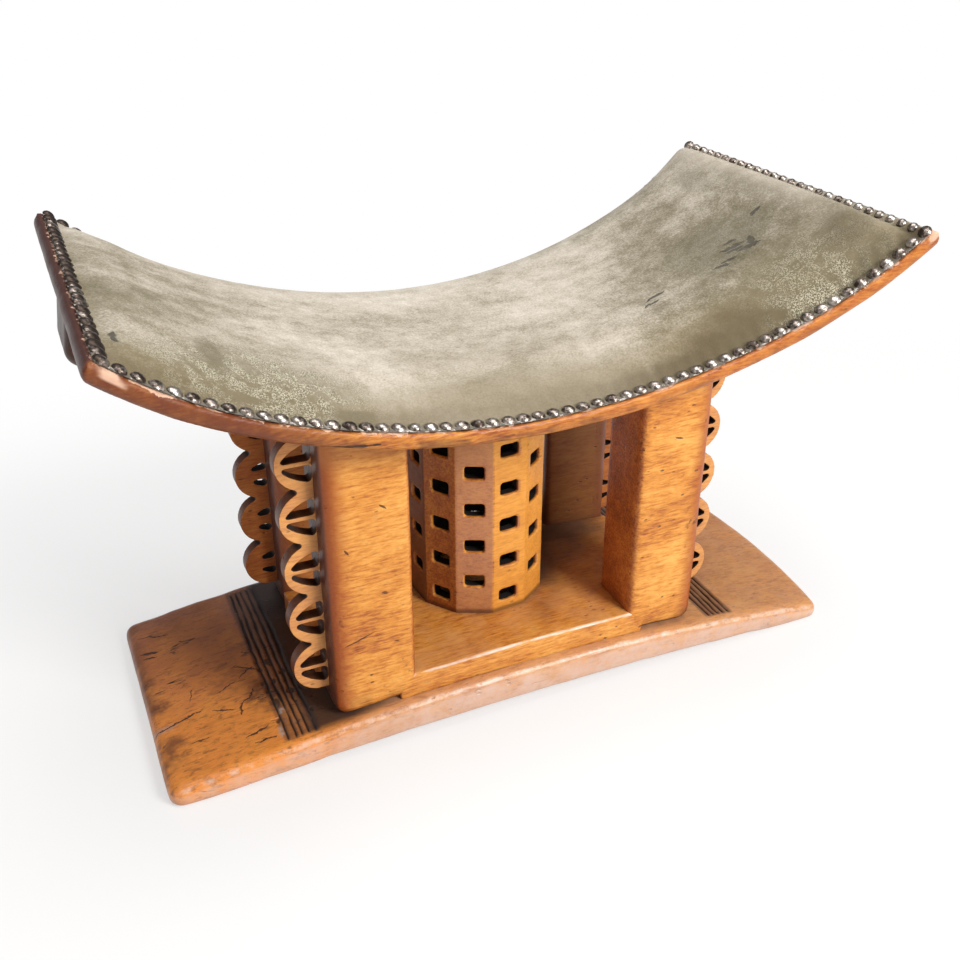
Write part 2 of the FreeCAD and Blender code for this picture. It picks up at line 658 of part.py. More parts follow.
def cover_section(run):
    """A section across the cover: flat under the nails, and bowed over the padding between them."""
    wood = seat_station(run)[0]
    low, high = value("cloth_gap"), value("cloth_gap + cover_thickness")
    edge = half_depth(wood.x) - value("cover_inset")
    strip = half_depth(wood.x) - value("strip_width")
    crown = crown_at(run)

    def point(offset, rise):
        return Vector(wood.x, offset, wood.z + rise)

    return Part.Wire([
        Part.makeLine(point(-edge, high), point(-strip, high)),
        crowned_line(wood, strip, 1, crown, high),
        Part.makeLine(point(strip, high), point(edge, high)),
        Part.makeLine(point(edge, high), point(edge, low)),
        Part.makeLine(point(edge, low), point(strip, low)),
        crowned_line(wood, strip, 1, crown, low),
        Part.makeLine(point(-strip, low), point(-edge, low)),
        Part.makeLine(point(-edge, low), point(-edge, high)),
    ])


def padding_section(run):
    """A section across the padding: flat on the wood, drawn in to thin sides, and crowned a clearance
    below the cover."""
    wood = seat_station(run)[0]
    crown = crown_at(run)
    low = value("cloth_gap")
    side = low + value("pad_edge_thickness")
    strip = half_depth(wood.x) - value("strip_width")
    drop = value("pad_clearance")
    reach = (1 - (side + drop) / crown) ** (1 / ACROSS_POWER)
    edge = strip * reach
    corners = [wood + Vector(0, -edge, low), wood + Vector(0, -edge, side), wood + Vector(0, edge, side),
               wood + Vector(0, edge, low)]
    return Part.Wire([Part.makeLine(corners[0], corners[1]), crowned_line(wood, strip, reach, crown, -drop),
                      Part.makeLine(corners[2], corners[3]), Part.makeLine(corners[3], corners[0])])


def nail_places():
    """Every nail's place on the wood and the direction of its shank, for each side of the seat."""
    end_run = seat_half_run() - value("nail_inset")
    inset = value("nail_inset")
    long_count = int(value("long_side_nails"))
    short_count = int(value("short_side_nails"))
    places = {"front_nails": [], "back_nails": [], "left_nails": [], "right_nails": []}
    for index in range(long_count):
        point, normal = seat_station(end_run * (2 * index / (long_count - 1) - 1))
        depth = half_depth(point.x) - inset
        places["front_nails"].append((Vector(point.x, -depth, point.z), normal))
        places["back_nails"].append((Vector(point.x, depth, point.z), normal))
    for name, run in (("left_nails", -end_run), ("right_nails", end_run)):
        point, normal = seat_station(run)
        depth = half_depth(point.x) - inset
        for index in range(1, short_count + 1):
            across = depth * (2 * index / (short_count + 1) - 1)
            places[name].append((Vector(point.x, across, point.z), normal))
    return places


def turned(shape, point, normal):
    """A copy of a shape that was made upright at the origin, stood on a place of the seat."""
    copy = shape.copy()
    copy.Placement = Placement(point, Rotation(Vector(0, 0, 1), normal))
    return copy


def nail_shape():
    """A dome-headed nail, upright, with the wood's surface at the origin."""
    under_head = value(UNDER_HEAD)
    head, shank = value("nail_head_radius"), value("nail_shank_radius")
    crown = under_head + value("nail_head_height")
    dome_radius = (head ** 2 + value("nail_head_height") ** 2) / (2 * value("nail_head_height"))
    shoulder = head / math.sqrt(2)
    shoulder_up = crown - dome_radius + math.sqrt(dome_radius ** 2 - shoulder ** 2)
    foot = under_head - value("nail_shank_length")
    dome = Part.Arc(Vector(0, 0, crown), Vector(shoulder, 0, shoulder_up), Vector(head, 0, under_head)).toShape()
    corners = [Vector(head, 0, under_head), Vector(shank, 0, under_head), Vector(shank, 0, foot + shank),
               Vector(0, 0, foot), Vector(0, 0, crown)]
    lines = [Part.makeLine(first, second) for first, second in zip(corners, corners[1:])]
    return Part.Face(Part.Wire([dome] + lines)).revolve(Vector(), Vector(0, 0, 1), 360)


def nail_hole_shape():
    """What one nail's shank cuts out of the cover and the wood."""
    radius = value("nail_shank_radius + nail_fit")
    depth = value(f"nail_shank_length + nail_fit - {UNDER_HEAD}")
    return Part.makeCylinder(radius, depth + value(f"{UNDER_HEAD} + overrun"), Vector(0, 0, -depth))


def add_feature(name, shape):
    """A sub-part whose shape is worked out here from the sheet."""
    feature = doc.addObject("Part::Feature", name)
    feature.Shape = shape
    return feature


def make_upholstery():
    """The padding, the cover, the four rows of nails, and the holes that the nails make."""
    half_run = seat_half_run()
    pad_runs = layer_stations([half_run - value("pad_end_inset")])
    padding = Part.makeLoft([padding_section(run) for run in pad_runs], True)
    cover_runs = layer_stations([half_run - value("strip_width"), half_run - value("cover_inset")])
    cover = Part.makeLoft([cover_section(run) for run in cover_runs], True)
    places = nail_places()
    holes = Part.makeCompound([turned(nail_hole_shape(), *place) for side in places.values() for place in side])
    nails = {side: Part.makeCompound([turned(nail_shape(), *place) for place in places[side]]) for side in places}
    return padding, cover.cut(holes), holes, nails


# The assembly. Every sub-part's label is the name of its file.
parts = {}
seat_blank = make_seat_blank()
parts["left_lug"] = make_lug("LeftLug", -1)
parts["right_lug"] = make_lug("RightLug", 1)
for way_word, way in (("front", -1), ("back", 1)):
    for side_word, side in (("left", -1), ("right", 1)):
        title = way_word.title() + side_word.title()
        parts[f"{way_word}_{side_word}_post"] = make_post(f"{title}Post", side, way)
        parts[f"{way_word}_{side_word}_fret"] = make_fret(f"{title}Fret", side, way)
parts["pierced_column"] = make_column()
parts["plinth"] = make_plinth()
parts["base_slab"] = make_base()

padding, cover, nail_holes, nails = make_upholstery()
parts["seat_padding"] = add_feature("SeatPadding", padding)
parts["seat_cover"] = add_feature("SeatCover", cover)
for side_name, shape in nails.items():
    parts[side_name] = add_feature(side_name.title().replace("_", ""), shape)
seat_slab = doc.addObject("Part::Cut", "SeatSlab")
seat_slab.Base = seat_blank
seat_slab.Tool = add_feature("NailHoles", nail_holes)
parts["seat_slab"] = seat_slab

for label, part in parts.items():
    part.Label = label
doc.recompute()

for item in doc.Objects:
    if "Invalid" in item.State or "Error" in item.State:
        raise RuntimeError(f"{item.Label} failed: {item.State}")
for label, part in parts.items():
    if part.Shape.isNull() or not part.Shape.isValid() or not part.Shape.Solids:
        raise RuntimeError(f"{label} has no valid solid")

os.makedirs("parts", exist_ok=True)
for label, part in parts.items():
    part.Shape.exportStep(f"parts/{label}.step")
    box = part.Shape.BoundBox
    print(f"{label}: {len(part.Shape.Solids)} solids, {part.Shape.Volume / 1000:.1f} cm3, "
          f"{box.XLength:.1f} x {box.YLength:.1f} x {box.ZLength:.1f} mm")
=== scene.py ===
# %% [markdown]
# # An ashanti stool
# The stool is carved from one block of wood, and a padded velvet seat is nailed to its top. The CAD model
# gives every piece its size and place. This script wears the wood down, stuffs the seat, and gives every
# surface its finish.

# %% Load the frame
import math
import random

import bmesh
import bpy
from mathutils import Matrix, Vector, noise


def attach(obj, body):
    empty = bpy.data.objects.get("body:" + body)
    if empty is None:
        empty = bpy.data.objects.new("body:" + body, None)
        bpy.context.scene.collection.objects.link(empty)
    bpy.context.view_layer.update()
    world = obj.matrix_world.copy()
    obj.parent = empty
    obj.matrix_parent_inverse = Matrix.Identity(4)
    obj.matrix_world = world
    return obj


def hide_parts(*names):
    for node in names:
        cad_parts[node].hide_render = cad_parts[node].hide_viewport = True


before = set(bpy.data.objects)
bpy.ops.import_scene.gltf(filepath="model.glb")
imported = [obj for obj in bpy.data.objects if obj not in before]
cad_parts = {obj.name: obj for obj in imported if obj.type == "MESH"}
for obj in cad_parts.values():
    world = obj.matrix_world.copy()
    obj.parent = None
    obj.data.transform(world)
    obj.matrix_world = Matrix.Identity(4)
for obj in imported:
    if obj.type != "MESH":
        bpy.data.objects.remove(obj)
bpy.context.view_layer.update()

MM = 0.001

# %% [markdown]
# An operator works on whatever is selected, so each step starts by selecting its own piece and nothing else.


# %% Select one piece
def mode(name):
    """Go to edit mode or to object mode."""
    bpy.ops.object.mode_set(mode=name)


def adjust(thing, **settings):
    """Set several settings of a thing."""
    for name, setting in settings.items():
        setattr(thing, name, setting)


def only(piece):
    """Leave edit mode, then select and activate one piece and nothing else."""
    if bpy.context.object and bpy.context.object.mode != "OBJECT":
        mode("OBJECT")
    bpy.ops.object.select_all(action="DESELECT")
    piece.select_set(True)
    bpy.context.view_layer.objects.active = piece
    return piece


def apply_modifier(piece, kind, **settings):
    """Give a piece one modifier with these settings, and apply it."""
    only(piece)
    modifier = piece.modifiers.new(kind.title(), kind)
    adjust(modifier, **settings)
    bpy.ops.object.modifier_apply(modifier=modifier.name)


# %% [markdown]
# The camera stands in front of the stool's left half, a little over a metre away, and looks down. A focal
# length of about 41 mm on a 36 mm sensor gives the photograph's perspective.

# %% Camera
PICTURE_WIDTH = 960
FOCAL_PIXELS = 1096.0
PRINCIPAL_POINT = (475.7, 463.4)
CAMERA_PLACE = Vector((-0.32211, -0.72890, 0.60225))
CAMERA_FORWARD = Vector((0.3549, 0.8028, -0.4790)).normalized()
CAMERA_RIGHT = Vector((0.9146, -0.4048, -0.0008))
SENSOR_WIDTH = 36.0

bpy.ops.object.camera_add(location=CAMERA_PLACE)
camera = bpy.context.object
right = (CAMERA_RIGHT - CAMERA_RIGHT.dot(CAMERA_FORWARD) * CAMERA_FORWARD).normalized()
up = right.cross(CAMERA_FORWARD)
camera.rotation_euler = Matrix((right, up, -CAMERA_FORWARD)).transposed().to_euler()
camera.data.sensor_width = SENSOR_WIDTH
camera.data.lens = SENSOR_WIDTH * FOCAL_PIXELS / PICTURE_WIDTH
camera.data.shift_x = (PICTURE_WIDTH / 2 - PRINCIPAL_POINT[0]) / PICTURE_WIDTH
camera.data.shift_y = -(PICTURE_WIDTH / 2 - PRINCIPAL_POINT[1]) / PICTURE_WIDTH
bpy.context.scene.camera = camera
print("lens in mm:", round(camera.data.lens, 1))

# %% [markdown]
# Shader maths is easier to read as ordinary maths. `Value` wraps the output of a node, and its operators
# add the Math nodes. `Finish` is a material, and its methods make the nodes that every finish needs.


# %% Shader maths
class Value:
    """A number that a shader works out. Sums and products of values add Math nodes."""

    def __init__(self, finish, socket):
        self.finish, self.socket = finish, socket

    def math(self, operation, *others, clamp=False):
        """A Math node on this value and others."""
        settings = {"operation": operation, "use_clamp": clamp}
        return self.finish.node("ShaderNodeMath", settings, dict(enumerate((self, *others))))

    def two(operation):
        """A method that puts a Math node between two values."""
        return lambda self, other: self.math(operation, other)

    __add__, __sub__, __mul__, __truediv__, __pow__, least, most = map(two, (
        "ADD", "SUBTRACT", "MULTIPLY", "DIVIDE", "POWER", "MINIMUM", "MAXIMUM"))
    __radd__, __rmul__ = __add__, __mul__

    def __rsub__(self, other):
        return self * -1 + other

    def __neg__(self):
        return self * -1

    def __abs__(self):
        return self.math("ABSOLUTE")

    def clamped(self):
        """The value, kept from 0 to 1."""
        return self.math("ADD", 0, clamp=True)

    def between(self, low, high):
        """0 below low, 1 above high, and a smooth rise from one to the other. low may be the larger."""
        return self.finish.node("ShaderNodeMapRange", {"interpolation_type": "SMOOTHSTEP"},
                                {"Value": self, "From Min": low, "From Max": high})


class Finish:
    """A material with a Principled shader."""

    def __init__(self, name):
        self.material = bpy.data.materials.new(name)
        self.material.use_nodes = True
        self.tree = self.material.node_tree
        self.shader = self.tree.nodes["Principled BSDF"]
        self.place = self.node("ShaderNodeTexCoord", output="Object")

    def node(self, kind, settings=None, inputs=None, output=0):
        """One node: its settings first, then the values or links of its sockets."""
        node = self.tree.nodes.new(kind)
        adjust(node, **(settings or {}))
        for name, value in (inputs or {}).items():
            self.feed(node.inputs[name], value)
        return Value(self, node.outputs[output])

    def feed(self, socket, value):
        """Link a value to a socket, or set the socket to a plain number or colour."""
        if isinstance(value, Value):
            self.tree.links.new(value.socket, socket)
        elif isinstance(value, tuple) and socket.type == "RGBA":
            socket.default_value = (*value, 1)
        else:
            socket.default_value = value

    def set(self, **sockets):
        """Feed the Principled shader's sockets. An underscore stands for a space."""
        for name, value in sockets.items():
            self.feed(self.shader.inputs[name.replace("_", " ")], value)

    def axes(self, vector=None):
        """The x, y and z of a vector, or of the place on the object."""
        split = self.node("ShaderNodeSeparateXYZ", inputs={0: vector or self.place}).socket.node
        return [Value(self, socket) for socket in split.outputs]

    def facing(self):
        """The x, y and z of the direction that the surface faces."""
        return self.axes(self.node("ShaderNodeTexCoord", output="Normal"))

    def stretched(self, scale, turn=(0, 0, 0), shift=(0, 0, 0)):
        """The place on the object, stretched, turned and moved."""
        return self.node("ShaderNodeMapping", inputs={
            "Vector": self.place, "Location": shift, "Rotation": turn, "Scale": scale})

    def noise(self, scale, detail=2, rough=0.5, vector=None, distortion=0):
        """Soft noise from 0 to 1, mostly near a half."""
        return self.node("ShaderNodeTexNoise", inputs={
            "Vector": vector or self.place, "Scale": scale, "Detail": detail, "Roughness": rough,
            "Distortion": distortion})

    def openness(self, distance):
        """1 in the open, and less in a corner or a gap within a distance of the place."""
        return self.node("ShaderNodeAmbientOcclusion", {"samples": 8}, {"Distance": distance}, "AO")

    def ramp(self, value, *stops):
        """A colour that changes with a value. The lowest and the highest stop come first."""
        colour = self.node("ShaderNodeValToRGB", inputs={0: value})
        elements = colour.socket.node.color_ramp.elements
        for index, (position, shade) in enumerate(stops):
            stop = elements[index] if index < 2 else elements.new(position)
            stop.position, stop.color = position, (*shade, 1)
        return colour

    def paint(self, colour, *coats):
        """A colour under coats of other colours. Each coat is the share that it covers, and its colour."""
        for share, coat in coats:
            colour = self.node("ShaderNodeMix", {"data_type": "RGBA"}, {0: share, 6: colour, 7: coat}, 2)
        return colour

    def bump(self, height, distance, strength):
        """A normal for a height from 0 to 1, which stands for a real distance."""
        return self.node("ShaderNodeBump", inputs={
            "Height": height, "Distance": distance, "Strength": strength})


# %% [markdown]
# The photograph's ground is plain white. A very large pale floor keeps the stool's soft shadow. Away from
# the stool it turns into plain white, to the camera, in gloss and through clear things, so that it meets the
# white world without a horizon.

# %% Floor
FLOOR_SIZE = 12.0
WHITE_NEAR, WHITE_FAR, LEAST_WHITE = 0.28, 0.75, 0.55

bpy.ops.mesh.primitive_grid_add(x_subdivisions=4, y_subdivisions=4, size=FLOOR_SIZE)
floor = bpy.context.object
floor.name = "floor"
paper = Finish("pale_floor")
paper.set(Base_Color=(0.88, 0.88, 0.88), Roughness=0.9)
floor_x, floor_y, floor_z = paper.axes()
away = (floor_x * floor_x * 0.45 + floor_y * floor_y) ** 0.5
paths = paper.node("ShaderNodeLightPath", output="Is Camera Ray")
seen = paths.most(Value(paper, paths.socket.node.outputs["Is Glossy Ray"]))
seen = seen.most(Value(paper, paths.socket.node.outputs["Is Transmission Ray"]))
glow = paper.node("ShaderNodeEmission", inputs={"Color": (1, 1, 1), "Strength": 1.0})
white = paper.node("ShaderNodeMixShader", inputs={
    0: seen * (away.between(WHITE_NEAR, WHITE_FAR) * (1 - LEAST_WHITE) + LEAST_WHITE),
    1: Value(paper, paper.shader.outputs[0]), 2: glow})
paper.feed(paper.tree.nodes["Material Output"].inputs["Surface"], white)
floor.data.materials.append(paper.material)
print("floor:", FLOOR_SIZE, "m")


# %% [markdown]
# Light comes from a large window in front of the stool, to the right and above, as the bright fronts of
# the posts and their dark left sides show. A wide lamp overhead lights the seat, and a weak one at the
# left lights the shaded sides. The world is white to the camera and in clear things, and grey otherwise.


# %% Lights
def add_lamp(name, place, aim, size, power, colour=(1, 1, 1)):
    """A square lamp that faces a point."""
    bpy.ops.object.light_add(type="AREA", location=place)
    lamp = bpy.context.object
    lamp.name = name
    lamp.rotation_euler = (Vector(aim) - Vector(place)).to_track_quat("-Z", "Y").to_euler()
    adjust(lamp.data, size=size, energy=power, color=colour)


STOOL_MIDDLE = (0, 0, 0.2)
add_lamp("window", (1.0, -1.75, 1.5), STOOL_MIDDLE, 0.9, 56, (1, 0.98, 0.95))
add_lamp("ceiling", (0.1, 0.1, 2.2), STOOL_MIDDLE, 1.6, 31)
add_lamp("left_fill", (-2.0, -0.6, 0.9), STOOL_MIDDLE, 1.2, 6, (1, 0.94, 0.86))

WORLD_GREY = 0.2
world = bpy.data.worlds.new("studio")
bpy.context.scene.world = world
world.use_nodes = True
nodes, link = world.node_tree.nodes, world.node_tree.links.new
rays, either, level = [nodes.new(f"ShaderNode{kind}") for kind in ("LightPath", "Math", "MapRange")]
either.operation = "MAXIMUM"
level.inputs["To Min"].default_value, level.inputs["To Max"].default_value = WORLD_GREY, 1
nodes["Background"].inputs["Color"].default_value = (1, 1, 1, 1)
link(rays.outputs["Is Camera Ray"], either.inputs[0])
link(rays.outputs["Is Transmission Ray"], either.inputs[1])
link(either.outputs[0], level.inputs["Value"])
link(level.outputs[0], nodes["Background"].inputs["Strength"])
bpy.context.scene.view_settings.view_transform = "Standard"

# %% [markdown]
# Several finishes and shapes follow the seat's curve, so its sizes come first. The top of the seat is an
# arc of 500 mm in the middle and a tighter arc of 352 mm at each end.

# %% Sizes of the seat and the base
SEAT_RADIUS = 500 * MM
SEAT_LOW = 270.4 * MM
SEAT_END_RADIUS = 352 * MM
SEAT_THICKNESS = 13 * MM
JOIN_ANGLE, END_ANGLE = math.radians(22.95), math.radians(41.9)
JOIN_X = SEAT_RADIUS * math.sin(JOIN_ANGLE)
END_AXIS_X = (SEAT_RADIUS - SEAT_END_RADIUS) * math.sin(JOIN_ANGLE)
END_AXIS_Z = SEAT_LOW + SEAT_RADIUS - (SEAT_RADIUS - SEAT_END_RADIUS) * math.cos(JOIN_ANGLE)
HALF_LENGTH = END_AXIS_X + SEAT_END_RADIUS * math.sin(END_ANGLE)
HALF_DEPTH, WAIST = 158.5 * MM, 21 * MM
PLAN_RADIUS = (HALF_LENGTH ** 2 + WAIST ** 2) / (2 * WAIST)
MIDDLE_RUN = SEAT_RADIUS * JOIN_ANGLE
HALF_RUN = MIDDLE_RUN + SEAT_END_RADIUS * (END_ANGLE - JOIN_ANGLE)
BASE_TOP, BASE_RADIUS = 36 * MM, 1935.6 * MM


def seat_top(run):
    """The place on the seat's middle line at a run from its middle, and the direction square to it."""
    if abs(run) <= MIDDLE_RUN:
        angle = abs(run) / SEAT_RADIUS
        x, z = SEAT_RADIUS * math.sin(angle), SEAT_LOW + SEAT_RADIUS * (1 - math.cos(angle))
    else:
        angle = JOIN_ANGLE + (abs(run) - MIDDLE_RUN) / SEAT_END_RADIUS
        x, z = END_AXIS_X + SEAT_END_RADIUS * math.sin(angle), END_AXIS_Z - SEAT_END_RADIUS * math.cos(angle)
    side = math.copysign(1, run)
    return Vector((side * x, 0, z)), Vector((-side * math.sin(angle), 0, math.cos(angle)))


def seat_run(x):
    """The run from the seat's middle to a distance along the stool."""
    if abs(x) <= JOIN_X:
        run = SEAT_RADIUS * math.asin(abs(x) / SEAT_RADIUS)
    else:
        angle = math.asin(min(1, (abs(x) - END_AXIS_X) / SEAT_END_RADIUS))
        run = MIDDLE_RUN + SEAT_END_RADIUS * (angle - JOIN_ANGLE)
    return math.copysign(run, x)


def half_depth(x):
    """Half the seat's depth, at a distance along it."""
    return HALF_DEPTH - WAIST + PLAN_RADIUS - math.sqrt(PLAN_RADIUS ** 2 - x ** 2)


def depth_in_seat(x, z):
    """How far a place lies under the top of the seat's wood."""
    if abs(x) <= JOIN_X:
        return math.hypot(x, SEAT_LOW + SEAT_RADIUS - z) - SEAT_RADIUS
    return math.hypot(abs(x) - END_AXIS_X, END_AXIS_Z - z) - SEAT_END_RADIUS


def base_top(x):
    """The height of the base's top, which droops to its ends."""
    return BASE_TOP - BASE_RADIUS + math.sqrt(BASE_RADIUS ** 2 - x ** 2)


print("seat run in mm:", round(2 * HALF_RUN / MM), "depth at the waist:", round(2 * half_depth(0) / MM))

# %% [markdown]
# The wood is one block, so its grain runs along the stool in every carved part. All the finishes below share
# this recipe: long streaks, short dark flecks along the grain, pits, broad changes of tone, and a redder and
# darker painted shade on the faces that look to the stool's ends. Corners darken, partly with dirt and partly
# with painted shade.

# %% Wood
PALE_WOOD = (0.84, 0.42, 0.10)
GOLDEN_WOOD = (0.66, 0.26, 0.042)
RED_WOOD = (0.36, 0.095, 0.020)
DARK_WOOD = (0.055, 0.018, 0.009)
RAW_WOOD = (0.70, 0.44, 0.31)
SOOT_AND_SHADE = (0.018, 0.010, 0.008)


def carved_wood(name, patina=0.0, dirt_and_shade_reach=0.014, sides=0.75, gloss=0.35, marks=()):
    """The block's wood. patina darkens it all over, sides is how strongly painted shade darkens the faces
    that look along the stool, grime is how far from a corner the wood darkens with dirty joints and painted
    shade, gloss is how well it shines, and marks change the colour, the height and the roughness further."""
    finish = Finish(name)
    streaks = finish.noise(170, 5, 0.62, finish.stretched((0.07, 1, 1), (0, 0, 0.05)))
    flecks = finish.noise(620, 3, 0.65, finish.stretched((0.16, 1, 1), (0, 0.1, 0)))
    figure = finish.noise(10, 3, 0.55, finish.stretched((0.4, 1, 1)), 0.8)
    blotches = finish.noise(27, 5, 0.65)
    pits = finish.node("ShaderNodeTexVoronoi", inputs={"Vector": finish.stretched((0.5, 1, 1)), "Scale": 170})
    pits = pits.between(0.22, 0.09) * finish.noise(45, 3, 0.6).between(0.53, 0.60)
    # Painted shade: faces that look to the stool's ends are darkened and reddened by their direction.
    turned = abs(finish.facing()[0]).between(0.35, 0.95) * sides
    tone = (figure - 0.5) * 0.5 + (streaks - 0.5) * 0.6 + (blotches - 0.5) * 0.9 + (flecks - 0.5) * 1.3
    tone = tone + (0.66 - patina) - turned * 0.42
    colour = finish.ramp(tone, (0.0, DARK_WOOD), (1.0, PALE_WOOD), (0.3, RED_WOOD), (0.66, GOLDEN_WOOD))
    # Within that reach of a corner the wood darkens: dirt in the joints, and painted shade.
    dirt_and_shade = finish.openness(dirt_and_shade_reach).between(0.80, 0.30) * finish.noise(60, 3, 0.6).between(0.15, 0.5)
    colour = finish.paint(colour, (flecks.between(0.60, 0.72) * 0.35 + pits * 0.75, DARK_WOOD),
                          (dirt_and_shade * 0.85, DARK_WOOD))
    height = streaks * 0.4 + finish.noise(40, 2) * 0.4 + flecks * 0.5 - pits * 1.4
    rough = 0.40 + (blotches - 0.5) * 0.3 + dirt_and_shade * 0.25
    for mark in marks:
        colour, height, rough = mark(finish, colour, height, rough)
    finish.set(Base_Color=colour, Roughness=rough, Normal=finish.bump(height, 0.4 * MM, 0.9), IOR=1.46,
               Specular_IOR_Level=gloss)
    return finish.material


# %% [markdown]
# Marks that have a place of their own are drawn by distance: a scratch is everything near a short line, and
# a stain is everything near a point. Both are read through a little noise, so that none is straight or round.


# %% Scratches and stains
def ragged(finish, number, amount, scale=70):
    """A coordinate, shaken by noise."""
    shaken = finish.noise(scale, 3, 0.6, finish.stretched((1, 1, 1), shift=(amount * 90, 0.3, 0)))
    return number + (shaken - 0.5) * amount


def scratch(across, up, start, end, width):
    """1 along a line from start to end, given in mm, and 0 past its width, which tapers to both ends."""
    (x0, y0), (x1, y1) = start, end
    along_x, along_y = (x1 - x0) * MM, (y1 - y0) * MM
    length_squared = along_x ** 2 + along_y ** 2
    from_x, from_y = across - x0 * MM, up - y0 * MM
    share = (from_x * (along_x / length_squared) + from_y * (along_y / length_squared)).clamped()
    gap = ((from_x - share * along_x) ** 2 + (from_y - share * along_y) ** 2) ** 0.5
    taper = 1 - ((share - 0.5) ** 2) * 2.6
    return (gap / taper).between(width * MM, width * 0.45 * MM)


def stain(across, up, middle, size):
    """1 at a place, given in mm, fading to 0 at a distance of size, one for each direction."""
    x, y = (across - middle[0] * MM) / (size[0] * MM), (up - middle[1] * MM) / (size[1] * MM)
    return ((x * x + y * y) ** 0.5).between(1.0, 0.35)


def strongest(masks):
    """The highest of several masks."""
    result = masks[0]
    for mask in masks[1:]:
        result = result.most(mask)
    return result


def stains(across, up, *places):
    """The strongest of several stains. A place may end with a share, which weakens it."""
    masks = []
    for middle, size, *share in places:
        mask = stain(across, up, middle, size)
        masks.append(mask * share[0] if share else mask)
    return strongest(masks)


# %% [markdown]
# The seat's wood shows as a rim all round. Its arris is chipped to the bare wood at the front corners and
# in a few small places, and a dark crack follows the grain where the rim meets the front left post.


# %% Seat rim
def chipped_rim(finish, colour, height, rough):
    """Bare chips on the seat's arris, a dull lower edge, painted shade on the left end and on the underside,
    and the crack over the front left post.
    """
    x, y, z = finish.axes()
    reach = abs(x)
    middle_depth = ((x * x + (SEAT_LOW + SEAT_RADIUS - z) ** 2) ** 0.5) - SEAT_RADIUS
    end_depth = (((reach - END_AXIS_X) ** 2 + (END_AXIS_Z - z) ** 2) ** 0.5) - SEAT_END_RADIUS
    at_end = reach.between(JOIN_X - 1 * MM, JOIN_X + 1 * MM)
    depth = middle_depth * (1 - at_end) + end_depth * at_end
    broken = finish.noise(75, 4, 0.7)
    arris = finish.noise(160, 3, 0.6, finish.stretched((0.4, 1, 1)))
    corner = reach.between(0.250, 0.292) * abs(y).between(0.120, 0.156)
    width = (broken - 0.57).most(0) * 14 * MM + corner * (broken - 0.53).most(0) * 8 * MM
    width = width + (arris - 0.47).most(0) * 6 * MM
    chip = strongest([stain(ragged(finish, x, 0.010), ragged(finish, y, 0.008), (-283, -157), (9, 6)),
                      stain(ragged(finish, x, 0.010), ragged(finish, y, 0.010), (293, -155), (8, 9))])
    bare = (width - depth).between(-0.2 * MM, 0.5 * MM).most(chip * depth.between(6 * MM, 4 * MM))
    crack = scratch(ragged(finish, x, 0.006), ragged(finish, z, 0.005), (-176, 286), (-128, 280), 1.3)
    crack = crack * (-y).between(0.10, 0.12)
    dull = finish.noise(26, 4, 0.65).between(0.46, 0.60) * depth.between(1 * MM, 8 * MM)
    # Painted shade: the left end face is painted nearly black, and the underside behind the front rim reddish
    # brown.
    shaded_left_end = (-x).between(0.280, 0.290) * y.between(-0.157, -0.150)
    under = (y + 0.125).between(0.0, 0.02) * depth.between(SEAT_THICKNESS - 4 * MM, SEAT_THICKNESS)
    colour = finish.paint(
        colour, (dull * 0.55, DARK_WOOD),
        ((-x).between(0.10, 0.22) * (0.85 + (broken - 0.5) * 0.9), (0.150, 0.036, 0.012)),
        ((-x).between(0.06, -0.10) * 0.35, (0.50, 0.150, 0.030)),
        (shaded_left_end * 0.85, (0.060, 0.024, 0.022)), (under * 0.8, (0.22, 0.065, 0.022)),
        (bare * 0.92, RAW_WOOD), (crack * 0.9, SOOT_AND_SHADE))
    return colour, height - bare * 0.9 - crack * 2, rough + bare * 0.2


# %% [markdown]
# A post's corners are rubbed, and its rounded edges are reddish brown, partly patina and partly painted
# shade. Just under the seat a duller band is a painted shadow of the seat, and dirt has darkened the outer
# corner of the foot. The back posts are painted darker as painted shade, the back right post most, and the
# outer faces behind the strips are painted nearly black as painted shade.


# %% Posts
POST_MIDDLE_X, POST_HALF_WIDTH = 126.75 * MM, 32.25 * MM


